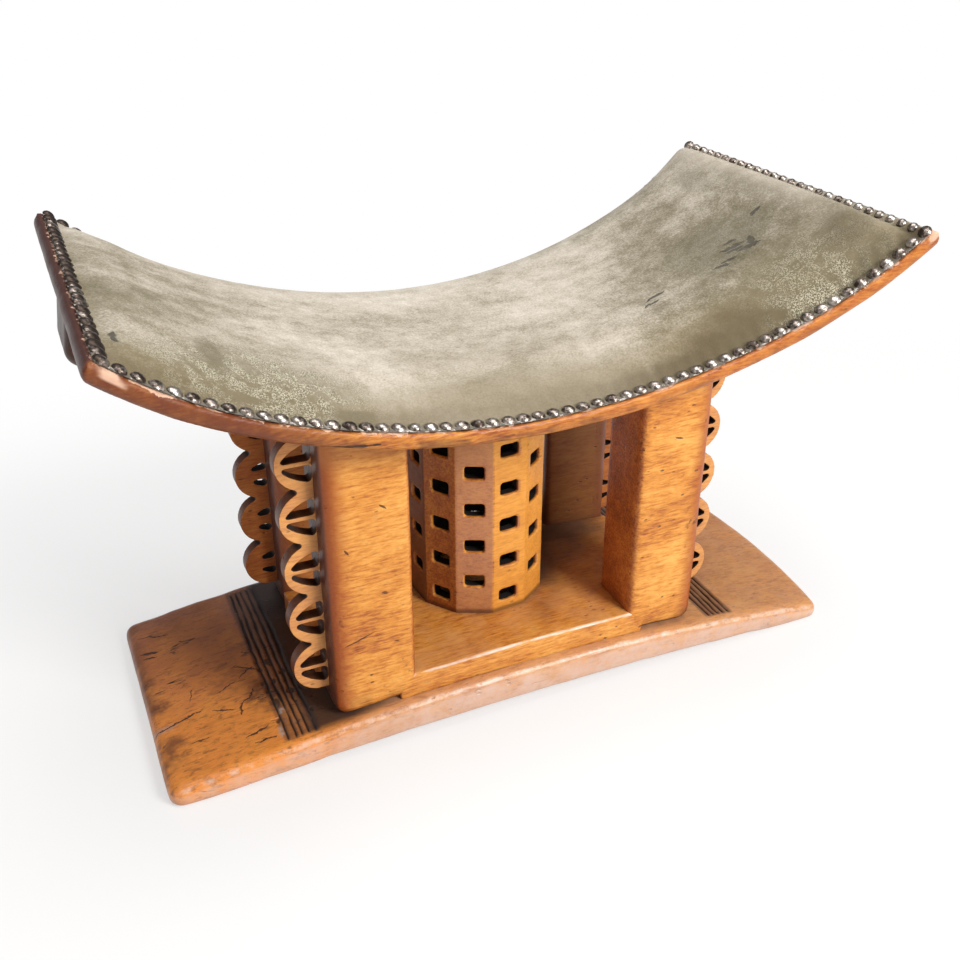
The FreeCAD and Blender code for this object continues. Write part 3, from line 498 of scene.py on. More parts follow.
def rubbed_post(finish, colour, height, rough):
    """Reddish edges, partly painted shade, a painted shadow at the top, a dark foot, and painted shade on the
    back posts and the outer faces.
    """
    x, y, z = finish.axes()
    wave = (finish.noise(18, 4, 0.6) - 0.5) * 22 * MM
    # Partly patina and partly painted shade: the rounded outer and inner edges are painted reddish brown.
    outer = (abs(x) - POST_MIDDLE_X + wave * 0.4).between(12 * MM, 29 * MM)
    inner = (POST_MIDDLE_X - abs(x) + wave * 0.3).between(27 * MM, 32 * MM)
    # Painted shade: the outer face, behind the scalloped strip, is painted nearly black.
    shaded_outer_face = (abs(x) - POST_MIDDLE_X).between(POST_HALF_WIDTH - 2.5 * MM, POST_HALF_WIDTH - 0.5 * MM)
    foot = (z + wave).between(0.052, 0.038) * finish.noise(50, 3).between(0.35, 0.6) * outer.most(0.35)
    edge = finish.noise(95, 3, 0.7, finish.stretched((1, 1, 0.7))).between(0.55, 0.64)
    edge = edge * outer.between(0.02, 0.3)
    nicks = strongest([scratch(ragged(finish, x, 0.003), z, (-146, 181), (-143, 177), 1.3),
                       scratch(ragged(finish, x, 0.003), z, (-119, 212), (-114, 208), 1.2),
                       scratch(x, ragged(finish, z, 0.004), (-150, 97), (-128, 104), 0.8),
                       scratch(x, ragged(finish, z, 0.004), (124, 214), (131, 212), 1.0),
                       edge * finish.noise(14, 2).between(0.5, 0.56) * 0.7])
    # The band under the seat is a painted shadow of the seat, and the back posts get painted shade, the back
    # right post most.
    colour = finish.paint(
        colour, (outer * 0.88, (0.33, 0.068, 0.010)), (inner * 0.35, (0.34, 0.088, 0.022)),
        ((z + wave * 0.5).between(0.240, 0.258) * 0.5, (0.50, 0.19, 0.050)),
        ((y + wave * 0.5).between(0.03, 0.06) * 0.75, (0.23, 0.085, 0.042)),
        (shaded_outer_face * 0.85, (0.055, 0.022, 0.018)), (foot * 0.85, DARK_WOOD),
        (nicks * (-y).between(0.085, 0.095) * 0.85, DARK_WOOD),
        (y.between(0.02, 0.05) * x.between(0.05, 0.09) * 0.5, DARK_WOOD))
    return colour, height - nicks, rough


# %% [markdown]
# Each window of the column opens into its bore, and everything further in than the walls' outer skin is
# painted nearly black as painted shade. The facet that looks to the front left is duller and pinker than its
# neighbours. Facets that look to the right are painted a brighter gold as painted light, and facets that look
# to the left are painted darker as painted shade.

# %% Column and scalloped strips
WALL_OUTSIDE, WALL_DARK = 54.3 * MM, 52.6 * MM


def dark_bore(finish, colour, height, rough):
    """Painted shade in the windows and the bore, a pinkish facet, painted light and shade on the facets that
    look right and left, and a dark ring at the foot.
    """
    x, y, z = finish.axes()
    normal_x, normal_y, normal_z = finish.facing()
    # Painted shade: everything inside the walls' outer skin is painted nearly black.
    inside = ((x * x + y * y) ** 0.5).between(WALL_OUTSIDE, WALL_DARK)
    # Painted light on the facets that look to the right, painted shade on those that look to the left.
    colour = finish.paint(
        colour, ((normal_x * -0.42 + normal_y * -0.91).between(0.93, 0.98) * 0.6, (0.46, 0.215, 0.125)),
        ((normal_x - normal_y * 0.2).between(0.2, 0.27) * 0.5, (0.80, 0.36, 0.055)),
        ((-normal_x).between(0.6, 0.75) * 0.45, (0.30, 0.085, 0.022)),
        ((-normal_x).between(0.85, 0.95) * 0.6, DARK_WOOD),
        (z.between(0.0615, 0.058) * 0.6, DARK_WOOD), (inside, (0.012, 0.010, 0.009)))
    return colour, height, rough + inside * 0.4


def flat_strip(finish, colour, height, rough):
    """A flat front on a strip, painted paler on the front strips as painted light, with painted shade on the
    back strips, on the cut edges and in the holes.
    """
    x, y, z = finish.axes()
    flat = abs(finish.facing()[1]).between(0.55, 0.9)
    cut = 1 - flat
    # Painted light and shade: back strips darker, front flats paler, cut walls and holes nearly black.
    colour = finish.paint(
        colour, (y.between(0, 0.05) * 0.6, (0.33, 0.10, 0.040)),
        (flat * y.between(0, -0.05) * 0.4, (0.78, 0.40, 0.17)), (cut * 0.85, (0.10, 0.030, 0.014)),
        (cut * finish.openness(12 * MM).between(0.85, 0.55), SOOT_AND_SHADE))
    return colour, height, rough


# %% [markdown]
# The base has seen the most wear. Its left end is golden in front, ruddy further back and dark at the back,
# with a grey bloom. The whole base darkens towards the back, partly patina and partly a painted shadow of the
# seat, and a painted shadow lies behind the column and towards the right end. The grooves are full of dirt,
# and the wood beside the left strips is painted nearly black as painted shade. The splits, cuts, dents and
# stains are where the photograph shows them. The front face is pale, partly a grey-pink haze and partly
# painted sheen, under a bullnose with a painted highlight. The plinth has a painted shadow behind the front
# right post, and a painted highlight along its front edge.


# %% Base and plinth
GROOVE_MARK = "groove"
GROOVE_MIDDLE, GROOVE_PITCH, GROOVE_END = 187.5 * MM, 5.2 * MM, 104 * MM
SPLITS = [((-292, -43), (-251, -36), 1.5), ((-217, 2), (-199, -12), 1.3), ((-203, -5), (-216, -14), 1.2),
          ((-209, -32), (-214, -42), 1.2), ((-214, -41), (-223, -45), 1.2), ((-222, -44), (-224, -57), 1.2),
          ((-243, -40), (-228, -49), 1.0), ((-227, -83), (-209, -80), 1.5), ((-222, -92), (-206, -94), 1.5),
          ((-265, -68), (-252, -68), 1.0), ((-270, 10), (-264, 10), 1.6), ((-253, -6), (-257, -21), 0.8),
          ((-237, -23), (-221, -17), 0.9), ((-284, 83), (-258, 74), 0.8), ((-284, 60), (-270, 56), 2.6),
          ((-283, 53), (-272, 51), 1.6)]
SPOTS = [((-280, -14), (12, 10)), ((-277, -68), (13, 22)), ((-284, 19), (8, 11)), ((-203, -45), (18, 26))]
GREY_SPOTS = [((-196, -70), (3.2, 13)), ((-201, -92), (3.5, 10))]


def worn_base(finish, colour, height, rough):
    """Patina, splits, dents, dirty grooves, painted shadow and shade, and a painted highlight on the front
    edge.
    """
    x, y, z = finish.axes()
    wander = (finish.noise(11, 4, 0.6) - 0.5) * 0.10
    mottle = finish.noise(45, 4, 0.7)
    left = (-x).between(0.12, 0.2)
    ruddy = left * (y + wander * 1.2).between(-0.050, -0.005)
    # Darker towards the back: partly patina, partly a painted shadow of the seat.
    back = (y + wander - x * 0.12).between(-0.015, 0.10)
    bloom = left * (y + wander * 1.5).between(0.050, 0.10)
    dingy = finish.noise(17, 5, 0.7, finish.stretched((0.7, 1, 1))).between(0.56, 0.70)
    grain = finish.noise(260, 5, 0.75, finish.stretched((0.35, 1, 1))).between(0.50, 0.64)
    rim = (-x).between(0.276, 0.289) * finish.noise(26, 4, 0.65).between(0.40, 0.58)

    shaken_x, shaken_y = ragged(finish, x, 0.005, 110), ragged(finish, y, 0.006, 95)
    spots, grey = stains(shaken_x, shaken_y, *SPOTS), stains(shaken_x, shaken_y, *GREY_SPOTS)
    torn_x, torn_y = ragged(finish, shaken_x, 0.0035, 420), ragged(finish, shaken_y, 0.0035, 380)
    splits = strongest([scratch(torn_x, torn_y, start, end, width * 0.75) for start, end, width in SPLITS])
    worn = stain(shaken_x, shaken_y, (-284, -41), (16, 5)) * (1 - splits)
    checks = finish.noise(34, 4, 0.65, finish.stretched((0.16, 1, 0.4)), 0.4)
    checks = abs(checks - 0.5).between(0.010, 0.002) * finish.noise(41, 3, 0.6).between(0.55, 0.62)

    groove = finish.node("ShaderNodeAttribute", {"attribute_name": GROOVE_MARK}, output="Fac")
    band = abs(abs(x) - GROOVE_MIDDLE).between(15.5 * MM, 12.5 * MM) * abs(y).between(106 * MM, 100 * MM)
    # Painted shade: the wood beside the left strips, by the grooves, is painted nearly black.
    shade = (-x + wander * 0.05).between(0.186, 0.176) * (-x).between(0.11, 0.15) * y.between(-0.108, -0.098)
    # Painted shadow behind the column and towards the right end.
    behind = stains(x, y, ((70, 40), (60, 50)), ((215, 20), (40, 60), 0.5))

    normal_x, normal_y, normal_z = finish.facing()
    # The pale front face is partly a grey-pink haze and partly painted sheen, and a painted highlight runs
    # along the bullnose.
    nose = (-y).between(0.094, 0.104)
    face = nose * normal_z.between(0.60, 0.20)
    pale = finish.noise(60, 5, 0.7).between(0.10, 0.75) * (0.55 + x.between(-0.22, -0.05) * 0.3)
    painted_highlight = (normal_y * -1 * normal_z).between(0.40, 0.49) * nose
    painted_highlight = painted_highlight * finish.noise(60, 5, 0.75).between(0.40, 0.62)
    colour = finish.paint(
        colour, ((1 - left) * (0.6 + (mottle - 0.5) * 0.9), (0.60, 0.31, 0.165)),
        (left * (0.65 + (mottle - 0.5) * 1.4), (0.88, 0.30, 0.055)),
        (ruddy * (0.22 + (mottle - 0.5) * 1.2), (0.56, 0.19, 0.075)),
        (back * (0.62 + (mottle - 0.5) * 0.8), (0.27, 0.085, 0.040)), (bloom * 0.5, (0.26, 0.125, 0.10)),
        (dingy * (0.2 + left * 0.25), (0.16, 0.05, 0.020)),
        (grain * (0.30 + left * 0.2), (0.15, 0.05, 0.022)), (rim * 0.6, (0.12, 0.045, 0.025)),
        (spots * mottle.between(0.32, 0.58) * 0.75, (0.10, 0.032, 0.018)), (splits * 0.88, SOOT_AND_SHADE),
        (worn * 0.5, (0.45, 0.30, 0.27)), (checks * (0.25 + left * 0.5), SOOT_AND_SHADE),
        (band * (0.62 + back * 0.2), (0.11, 0.052, 0.034)), (groove.between(0.22, 0.75) * 0.95, SOOT_AND_SHADE),
        (grey * finish.noise(160, 2).between(0.4, 0.6) * 0.8, (0.42, 0.39, 0.37)),
        (shade * 0.92, (0.030, 0.019, 0.018)), (behind * 0.5, (0.10, 0.05, 0.035)),
        (face * pale, (0.66, 0.47, 0.39)), (painted_highlight * 0.4, (0.90, 0.78, 0.70)))
    return colour, height - splits * 3 - checks - spots * 0.5, rough - nose * 0.05


def stained_step(finish, colour, height, rough):
    """The plinth: a painted shadow behind the front right post, and a painted highlight along the front edge.
    """
    x, y, z = finish.axes()
    wander = (finish.noise(16, 4, 0.6) - 0.5) * 0.09
    normal_x, normal_y, normal_z = finish.facing()
    floor = normal_z.between(0.5, 0.9) * finish.noise(45, 4, 0.7).between(0.35, 0.65)
    # Painted shadow of the front right post and the column on the plinth's top.
    behind = (y + wander - (x - 0.07) * 0.9).between(-0.05, 0.01) * x.between(0.0, 0.05)
    # Painted highlight along the front edge.
    edge = (normal_y * -1 * normal_z).between(0.30, 0.44)
    colour = finish.paint(
        colour, (floor * 0.5, (0.72, 0.36, 0.15)), (behind * 0.9, (0.085, 0.046, 0.034)),
        (edge * finish.noise(60, 3).between(0.3, 0.6) * 0.7, (0.80, 0.66, 0.55)))
    return colour, height, rough - edge * 0.1


# %% [markdown]
# Each kind of carved part gets the wood, and wear of its own.

# %% Finish the carved parts
wood_plain = carved_wood("golden_wood", gloss=0.5, marks=[stained_step])
wood_post = carved_wood("post_wood", sides=0.9, marks=[rubbed_post])
wood_column = carved_wood("column_wood", patina=0.06, dirt_and_shade_reach=0.008, sides=0.5, marks=[dark_bore])
wood_fret = carved_wood("scalloped_wood", patina=0.1, dirt_and_shade_reach=0.010, sides=0.6, marks=[flat_strip])
wood_rim = carved_wood("rim_wood", patina=0.16, marks=[chipped_rim])
wood_base = carved_wood("base_wood", patina=0.02, gloss=0.7, marks=[worn_base])
# The lugs sit under the seat's ends: their dark patina and long reach of corner darkening are painted shade.
shaded_lug_wood = carved_wood("lug_wood", patina=0.62, dirt_and_shade_reach=0.10)

FINISHES = {"seat_slab": wood_rim, "left_lug": shaded_lug_wood, "right_lug": shaded_lug_wood, "plinth": wood_plain,
            "pierced_column": wood_column, "base_slab": wood_base}
for corner in ("front_left", "front_right", "back_left", "back_right"):
    FINISHES[f"{corner}_post"] = wood_post
    FINISHES[f"{corner}_fret"] = wood_fret
print("finishes:", len(set(FINISHES.values())))

# %% [markdown]
# The CAD solids are smooth and true, but an adze and a knife leave nothing quite flat or straight. So each
# carved part is a copy of its solid that is given an even skin of small faces by a voxel remesh, softened,
# and pushed about by a broad noise. On the real stool the members grow out of each other, so before the
# remesh the ends of each copy are sunk a little into their neighbours, and softening leaves no gap.

# %% Sink the ends
OVERLAP = 3 * MM
TOUCH = 0.6 * MM
POST_INNER, POST_OUTER, POST_BACK = 94.5 * MM, 159 * MM, 50.5 * MM
COLUMN_FOOT = 58 * MM
STEP_OVERLAP, POST_OVERLAP = 14 * MM, 6 * MM


def sink_ends(piece, node):
    """Move the ends of a copy into the parts that it grows out of."""
    overlap = POST_OVERLAP if "post" in node or node == "plinth" else OVERLAP
    for vertex in piece.data.vertices:
        x, y, z = vertex.co
        if node not in ("seat_slab", "base_slab"):
            if depth_in_seat(x, z) < SEAT_THICKNESS + TOUCH:
                vertex.co.z += overlap
            if z < base_top(x) + TOUCH or node == "pierced_column" and z < COLUMN_FOOT:
                vertex.co.z -= overlap
        if "fret" in node and abs(x) < POST_OUTER + TOUCH:
            vertex.co.x -= math.copysign(OVERLAP, x)
        if node == "plinth" and abs(x) > POST_INNER - TOUCH and abs(y) > POST_BACK - TOUCH:
            if abs(x) < POST_INNER + TOUCH:
                vertex.co.x += math.copysign(STEP_OVERLAP, x)
                vertex.co.y -= math.copysign(0.4 * MM, y)
            if abs(y) < POST_BACK + TOUCH:
                vertex.co.y += math.copysign(OVERLAP, y)


# %% [markdown]
# The grooves are narrower than a face of the base's remeshed skin. So the skin is first levelled where they
# run and divided finely, and then each groove is pressed in along a wandering line. How deep each point went
# is kept as an attribute, which the finish reads.

# %% Cut the grooves
GROOVE_DEPTH, GROOVE_WIDTH, GROOVE_FADE = 1.9 * MM, 1.15 * MM, 5 * MM
LEVELLED, SKIN = 4.5 * MM, 5 * MM
CHIPPED_FROM, CHIPPED_TO = -85 * MM, 5 * MM


def by_grooves(place, margin=0):
    """Whether a place is on top of the base and beside its grooves."""
    x, y, z = place
    if abs(abs(x) - GROOVE_MIDDLE) >= 2 * GROOVE_PITCH + LEVELLED:
        return False
    return abs(y) < GROOVE_END + margin and z > base_top(x) - SKIN


def groove_depth(x, y):
    """How deep the grooves are at a place, as a share of their full depth."""
    side = math.copysign(1, x)
    depth = 0.0
    for place in range(-2, 3):
        wander = noise.noise(Vector((side * 3, y / 0.040, place * 2.7))) * 1.3 * MM
        wander += noise.noise(Vector((side * 3, y / 0.009, place * 5.1))) * 0.5 * MM
        gap = abs(x) - GROOVE_MIDDLE - place * GROOVE_PITCH - wander
        force = 0.85 + 0.5 * noise.noise(Vector((side * 7, y / 0.02, place)))
        depth = max(depth, force * math.exp(-(gap / GROOVE_WIDTH) ** 2))
    chipped = noise.noise(Vector((x / 0.006, y / 0.009, 4.2))) - 0.12
    if side < 0 and chipped > 0 and CHIPPED_FROM < y < CHIPPED_TO:
        depth = max(depth, min(0.6, chipped * 2.4))
    return depth * min(1, (GROOVE_END - abs(y)) / GROOVE_FADE)


def cut_grooves(piece):
    """Press five wandering grooves into each side of the base."""
    mesh = piece.data
    only(piece)
    mode("EDIT")
    bpy.ops.mesh.select_mode(type="FACE")
    bpy.ops.mesh.select_all(action="DESELECT")
    mode("OBJECT")
    for face in mesh.polygons:
        face.select = by_grooves(face.center, 2 * MM)
    mode("EDIT")
    bpy.ops.mesh.subdivide(number_cuts=3)
    mode("OBJECT")
    depths = [0.0] * len(mesh.vertices)
    for vertex in mesh.vertices:
        if by_grooves(vertex.co):
            depths[vertex.index] = depth = groove_depth(vertex.co.x, vertex.co.y)
            vertex.co.z = base_top(vertex.co.x)
            vertex.co.z -= depth * GROOVE_DEPTH
    mesh.attributes.new(GROOVE_MARK, "FLOAT", "POINT").data.foreach_set("value", depths)
    print("grooved points:", sum(depth > 0.1 for depth in depths))


# %% Wear a carved part
UNEVEN, SWING, MID_LEVEL = 1.0 * MM, 45 * MM, 0.45
clouds = bpy.data.textures.new("carving", "CLOUDS")
clouds.noise_scale = SWING
clouds.noise_depth = 2


def wear_down(node, face_size, soften=2, shave=0.0):
    """A copy of a CAD node with hand-worked surfaces. shave takes that share of UNEVEN off all round."""
    piece = bpy.data.objects.new(f"worn_{node}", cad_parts[node].data.copy())
    bpy.context.scene.collection.objects.link(piece)
    piece.data.materials.clear()
    only(piece)
    mode("EDIT")
    bpy.ops.mesh.select_all(action="SELECT")
    bpy.ops.mesh.remove_doubles(threshold=1e-6)
    mode("OBJECT")
    sink_ends(piece, node)
    apply_modifier(piece, "REMESH", mode="VOXEL", voxel_size=face_size, use_smooth_shade=True)
    if soften:
        apply_modifier(piece, "SMOOTH", factor=0.5, iterations=soften)
    if node == "base_slab":
        cut_grooves(piece)
    apply_modifier(piece, "DISPLACE", texture=clouds, texture_coords="LOCAL", strength=UNEVEN,
                   mid_level=MID_LEVEL + shave)
    piece.data.materials.append(FINISHES[node])
    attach(piece, "root")
    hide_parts(node)
    print(piece.name, len(piece.data.polygons), "faces")


# %% Carved parts
FACE_SIZES = {"seat_slab": 2.3 * MM, "base_slab": 2.6 * MM, "pierced_column": 1.25 * MM, "plinth": 1.8 * MM}
SOFTENING = {"base_slab": 11, "pierced_column": 0, "front_right_post": 20, "seat_slab": 3}
for node in FINISHES:
    if "fret" in node:
        wear_down(node, 0.95 * MM, 0, 0.8)
    else:
        wear_down(node, FACE_SIZES.get(node, 1.5 * MM), SOFTENING.get(node, 2))

# %% [markdown]
# The seat cover is velvet, pulled down over the stuffing and held by the nails. It is a padded piece: two
# sheets joined at the edge. The lower one lies on the wood, and the upper one is blown up by cloth
# simulation while its edge is held. Each starts as a flat grid, whose x runs along the seat's curve and whose
# y runs across it. The stuffing rises steeply inside the nails, is nearly flat on top, and is a little fuller
# towards the right end.

# %% Cover sheets
NAIL_STRIP = 12.4 * MM
COVER_EDGE = 1.6 * MM
CROWN = 18.5 * MM
FULLER = 0.42
CLEAR = 0.4 * MM
CLOTH = 1.2 * MM
COLUMNS, ROWS = 136, 68


def crown_over(run, across):
    """How high the stuffing stands over the edge, as a share, at a share of the way across. It rises most
    steeply at the back and at the right end."""
    end_share = min(1, abs(run) / (HALF_RUN - NAIL_STRIP))
    along = 1 - end_share ** (90 if run > 0 else 28)
    return along * (1 - abs(across) ** (18 if across > 0 else 9)) * (1 + FULLER * run / HALF_RUN)


def shape_sheet(sheet, upper):
    """Lay a flat grid from -1 to 1 over the seat."""
    for vertex in sheet.data.vertices:
        run = vertex.co.x * (HALF_RUN - COVER_EDGE)
        wood, square = seat_top(run)
        offset = vertex.co.y * (half_depth(wood.x) - COVER_EDGE)
        inner = max(-1, min(1, offset / (half_depth(wood.x) - NAIL_STRIP)))
        lift = CLEAR
        if upper:
            lift += CLOTH + 0.93 * CROWN * crown_over(run, inner)
        vertex.co = wood + Vector((0, offset, 0)) + square * lift


sheets = []
for upper in (True, False):
    bpy.ops.mesh.primitive_grid_add(x_subdivisions=COLUMNS, y_subdivisions=ROWS, size=2)
    sheet = bpy.context.object
    shape_sheet(sheet, upper)
    if not upper:
        only(sheet)
        mode("EDIT")
        bpy.ops.mesh.select_all(action="SELECT")
        bpy.ops.mesh.flip_normals()
        mode("OBJECT")
    sheets.append(sheet)

only(sheets[0])
sheets[1].select_set(True)
bpy.ops.object.join()
cover = bpy.context.object
cover.name = "velvet_cover"
mode("EDIT")
bpy.ops.mesh.select_all(action="DESELECT")
bpy.ops.mesh.select_mode(type="EDGE")
bpy.ops.mesh.select_non_manifold()
bpy.ops.mesh.bridge_edge_loops()
mode("OBJECT")
print("cover:", len(cover.data.polygons), "faces")

# %% [markdown]
# Points under the nails and the whole lower sheet are held. The rest swells under pressure, without gravity,
# and by 3 mm at the most, which keeps the seat's size. Then each nail along the long edges pulls a small
# dimple into the cloth.

# %% Stuff the seat
PRESSURE = 4.0
SWELL_LIMIT = 3.0 * MM
FRAMES = 20
NAIL_INSET = 6 * MM
NAIL_PITCH = 2 * (HALF_RUN - NAIL_INSET) / 54
DIMPLE = 0.5 * MM


def from_edge(x, y):
    """The distance from a place on the seat to the nearest edge of its wood."""
    return min(half_depth(x) - abs(y), (HALF_LENGTH - abs(x)) / math.cos(END_ANGLE))


def hold_edge(piece):
    """A vertex group of what the nails and the wood hold."""
    group = piece.vertex_groups.new(name="held")
    lower_start = len(piece.data.vertices) // 2
    for vertex in piece.data.vertices:
        if from_edge(vertex.co.x, vertex.co.y) < NAIL_STRIP or vertex.index >= lower_start:
            group.add([vertex.index], 1.0, "REPLACE")


def stuff(piece):
    """Blow the cover up with a cloth simulation, and keep the result."""
    start = [vertex.co.copy() for vertex in piece.data.vertices]
    only(piece)
    cloth = piece.modifiers.new("Cloth", "CLOTH")
    adjust(cloth.settings, vertex_group_mass="held", use_pressure=True, uniform_pressure_force=PRESSURE,
           mass=0.2, tension_stiffness=15, bending_stiffness=0.5)
    cloth.settings.effector_weights.gravity = 0
    scene = bpy.context.scene
    for step in range(1, FRAMES + 1):
        scene.frame_set(step)
    bpy.ops.object.modifier_apply(modifier=cloth.name)
    scene.frame_set(1)
    furthest = 0
    for vertex, place in zip(piece.data.vertices, start):
        moved = vertex.co - place
        furthest = max(furthest, moved.length)
        if moved.length > SWELL_LIMIT:
            vertex.co = place + moved.normalized() * SWELL_LIMIT
    print("cover swelled by up to", round(furthest / MM, 1), "mm")


def dimple(piece):
    """Small pulls in the cloth between the nails along both long edges."""
    for vertex in piece.data.vertices:
        x, y, z = vertex.co
        gap = half_depth(x) - abs(y)
        fade = max(0, 1 - abs(gap - 15 * MM) / (9 * MM))
        if fade and depth_in_seat(x, z) < -CLOTH:
            run = seat_run(x)
            square = seat_top(run)[1]
            vertex.co += square * DIMPLE * fade * math.cos(2 * math.pi * run / NAIL_PITCH)


hold_edge(cover)
stuff(cover)
apply_modifier(cover, "SUBSURF", levels=1, render_levels=1)
dimple(cover)
only(cover)
bpy.ops.object.shade_smooth()
print("cover:", len(cover.data.polygons), "faces")

# %% [markdown]
# The velvet was olive. It is rubbed to a pale cream grey along the middle, and it is painted lighter along
# the back as painted sheen. Its own colour is left beside the nails and towards the ends. Where the cloth
# rolls down to the front nails it is painted darker as painted shade, and the hem under the nails is dark
# grey, partly its own colour and partly painted shadow. Its woven figure, a flower inside a ring of small
# leaves, survives as fine pale flecks near the two front corners, and as a fuzzy band along the front edge
# at the right. Brown patches lie near the front edge, and dark scuffs cross the right half.

# %% Velvet
OLIVE, GREY_OLIVE = (0.105, 0.084, 0.036), (0.225, 0.190, 0.125)
CREAM, PALE_CREAM = (0.50, 0.44, 0.36), (0.74, 0.68, 0.60)
REPEAT_X, REPEAT_Y = 78 * MM, 72 * MM
SCUFFS = [((188, -46), (206, -52), 3.0), ((190, -51), (202, -57), 2.4), ((196, -58), (212, -64), 3.2),
          ((181, -60), (193, -63), 2.7), ((211, -50), (206, -64), 3.0), ((173, -60), (184, -66), 2.5),
          ((118, -56), (134, -54), 2.5), ((112, -63), (126, -61), 2.2), ((227, -30), (235, -28), 2.7),
          ((-275, -103), (-275, -116), 3.0), ((196, -40), (204, -42), 2.7)]


def woven_figure(finish, x, y):
    """1 on the figure: six veined petals round an eye, inside a ring of small leaves."""
    row = (y + 0.145) / REPEAT_Y
    column = (x + 0.2175) / REPEAT_X + row.math("FLOOR") * 0.5
    across = (column.math("FRACT") - 0.5) * REPEAT_X
    along = (row.math("FRACT") - 0.5) * REPEAT_Y
    reach = (across * across + along * along) ** 0.5
    angle = along.math("ARCTAN2", across)
    petals = (angle * 6).math("COSINE")
    flower = (reach - petals * 4 * MM).between(17 * MM, 15 * MM) * reach.between(3.5 * MM, 5 * MM)
    veins = abs((angle * 3).math("SINE")).between(0.06, 0.22)
    leaves = (angle * 9 + reach * 260).math("SINE").between(-0.6, -0.1)
    ring = abs(reach - 28 * MM).between(10 * MM, 7 * MM) * leaves
    return strongest([flower * veins, ring, reach.between(3 * MM, 2 * MM)])


def velvet():
    """The worn seat cover."""
    finish = Finish("olive_velvet")
    x, y, z = finish.axes()
    broad = finish.noise(9, 4, 0.62, distortion=0.5)
    rubs = finish.noise(30, 5, 0.68, finish.stretched((0.35, 1, 1), (0, 0, 0.3)))
    speckle = finish.noise(620, 3, 0.75)
    curls = finish.noise(75, 5, 0.75)
    middle = abs(x + 0.03).between(0.22, 0.05)
    darker_right = stain(x, y, (190, -25), (95, 110))
    # The tone is darker towards the right, and lighter towards the back as painted sheen.
    tone = 0.38 + middle * 0.20 - darker_right * 0.10 + y.between(-0.03, 0.12) * 0.16
    tone = tone + (broad - 0.5) * 0.8 + (rubs - 0.5) * 0.75 + (curls - 0.5) * 0.65 + (speckle - 0.5) * 0.9
    colour = finish.ramp(tone, (0.0, OLIVE), (1.0, PALE_CREAM), (0.30, GREY_OLIVE), (0.62, CREAM))
    front_gap = (x * x * (WAIST / HALF_LENGTH ** 2) + (HALF_DEPTH - WAIST)) - abs(y)
    end_gap = (HALF_LENGTH - abs(x)) / math.cos(END_ANGLE)
    uneven_gap = front_gap + (broad - 0.5) * 0.05 + y.between(0.0, 0.05) * 0.03
    band = uneven_gap.between(0.058, 0.022).most(end_gap.between(0.024, 0.012) * 0.5)
    # Painted shade: the roll of the cloth down to the front nails is painted darker.
    painted_roll_shade = uneven_gap.between(0.028, 0.017) * (x.between(0.0, 0.12) * 0.4 + 0.35)

    shaken_x, shaken_y = ragged(finish, x, 0.010, 60), ragged(finish, y, 0.010, 60)
    seen = stains(shaken_x, shaken_y, ((-195, -102), (94, 62)), ((214, -118), (66, 42), 0.6),
                  ((180, -40), (70, 50), 0.35), ((-225, -45), (60, 60), 0.4))
    ground = stains(x, y, ((-190, -110), (85, 45)), ((222, -112), (68, 46)))
    figure = woven_figure(finish, shaken_x, shaken_y) * curls.between(0.34, 0.50)
    fuzz = stain(shaken_x, shaken_y, (222, -138), (62, 26)) * curls.between(0.42, 0.56)
    pattern = (seen * figure.most(curls.between(0.48, 0.58) * 0.75)).most(fuzz)
    tufts = finish.noise(1150, 2, 0.6, distortion=0.3).between(0.47, 0.55)
    fleck = pattern * tufts
    hollow = stains(shaken_x, shaken_y, ((-218, -88), (12, 30)), ((156, -124), (26, 16)),
                    ((256, -140), (22, 14)), ((-140, -128), (22, 8)))
    torn_x, torn_y = ragged(finish, x, 0.006, 150), ragged(finish, y, 0.008, 170)
    scuffs = strongest([scratch(torn_x, torn_y, *scuff) for scuff in SCUFFS])
    smudge = stains(shaken_x, shaken_y, ((234, 66), (12, 34)), ((195, -35), (52, 44)))
    brown = stains(shaken_x, shaken_y, ((150, -118), (56, 22)), ((252, -112), (26, 30)),
                   ((92, -128), (60, 16), 0.6))
    dip = abs(x + 0.01).between(0.13, 0.03) * y.between(-0.01, -0.07)
    pale_end = x.between(0.235, 0.262) * y.between(-0.10, -0.04)
    # The hem under the nails: dark grey, partly its own colour and partly painted shadow of the nails.
    hem_and_nail_shadow = front_gap.most(0).least(end_gap).between(5.5 * MM, 3.0 * MM)
    threads = finish.noise(300, 2, 0.7, finish.stretched((0.5, 1, 1))).between(0.52, 0.60)
    colour = finish.paint(
        colour, (band * (0.62 + (curls - 0.5) * 0.8), (0.160, 0.118, 0.046)), (painted_roll_shade, (0.085, 0.060, 0.024)),
        (ground * 0.65, (0.165, 0.135, 0.075)), (pattern * (1 - tufts) * 0.6, (0.115, 0.094, 0.050)),
        (fleck * 0.85, (0.60, 0.55, 0.41)), (hollow * 0.6, (0.13, 0.105, 0.055)),
        (scuffs * 0.85, (0.028, 0.026, 0.018)),
        (smudge * curls.between(0.3, 0.6) * 0.45, (0.12, 0.105, 0.070)),
        (brown * curls.between(0.30, 0.62) * 0.6, (0.105, 0.075, 0.034)),
        (dip * 0.30, (0.30, 0.255, 0.18)), (pale_end * 0.5, CREAM),
        (hem_and_nail_shadow, finish.paint((0.13, 0.115, 0.095), (threads * 0.8, (0.60, 0.57, 0.52)))))
    height = speckle * 0.6 + fleck * 0.7 + rubs * 0.6 + curls * 0.8 - scuffs * 1.2
    finish.set(Base_Color=colour, Roughness=0.85, Sheen_Weight=0.2, Sheen_Roughness=0.45,
               Sheen_Tint=(0.92, 0.9, 0.82), Normal=finish.bump(height, 0.5 * MM, 0.8))
    return finish.material


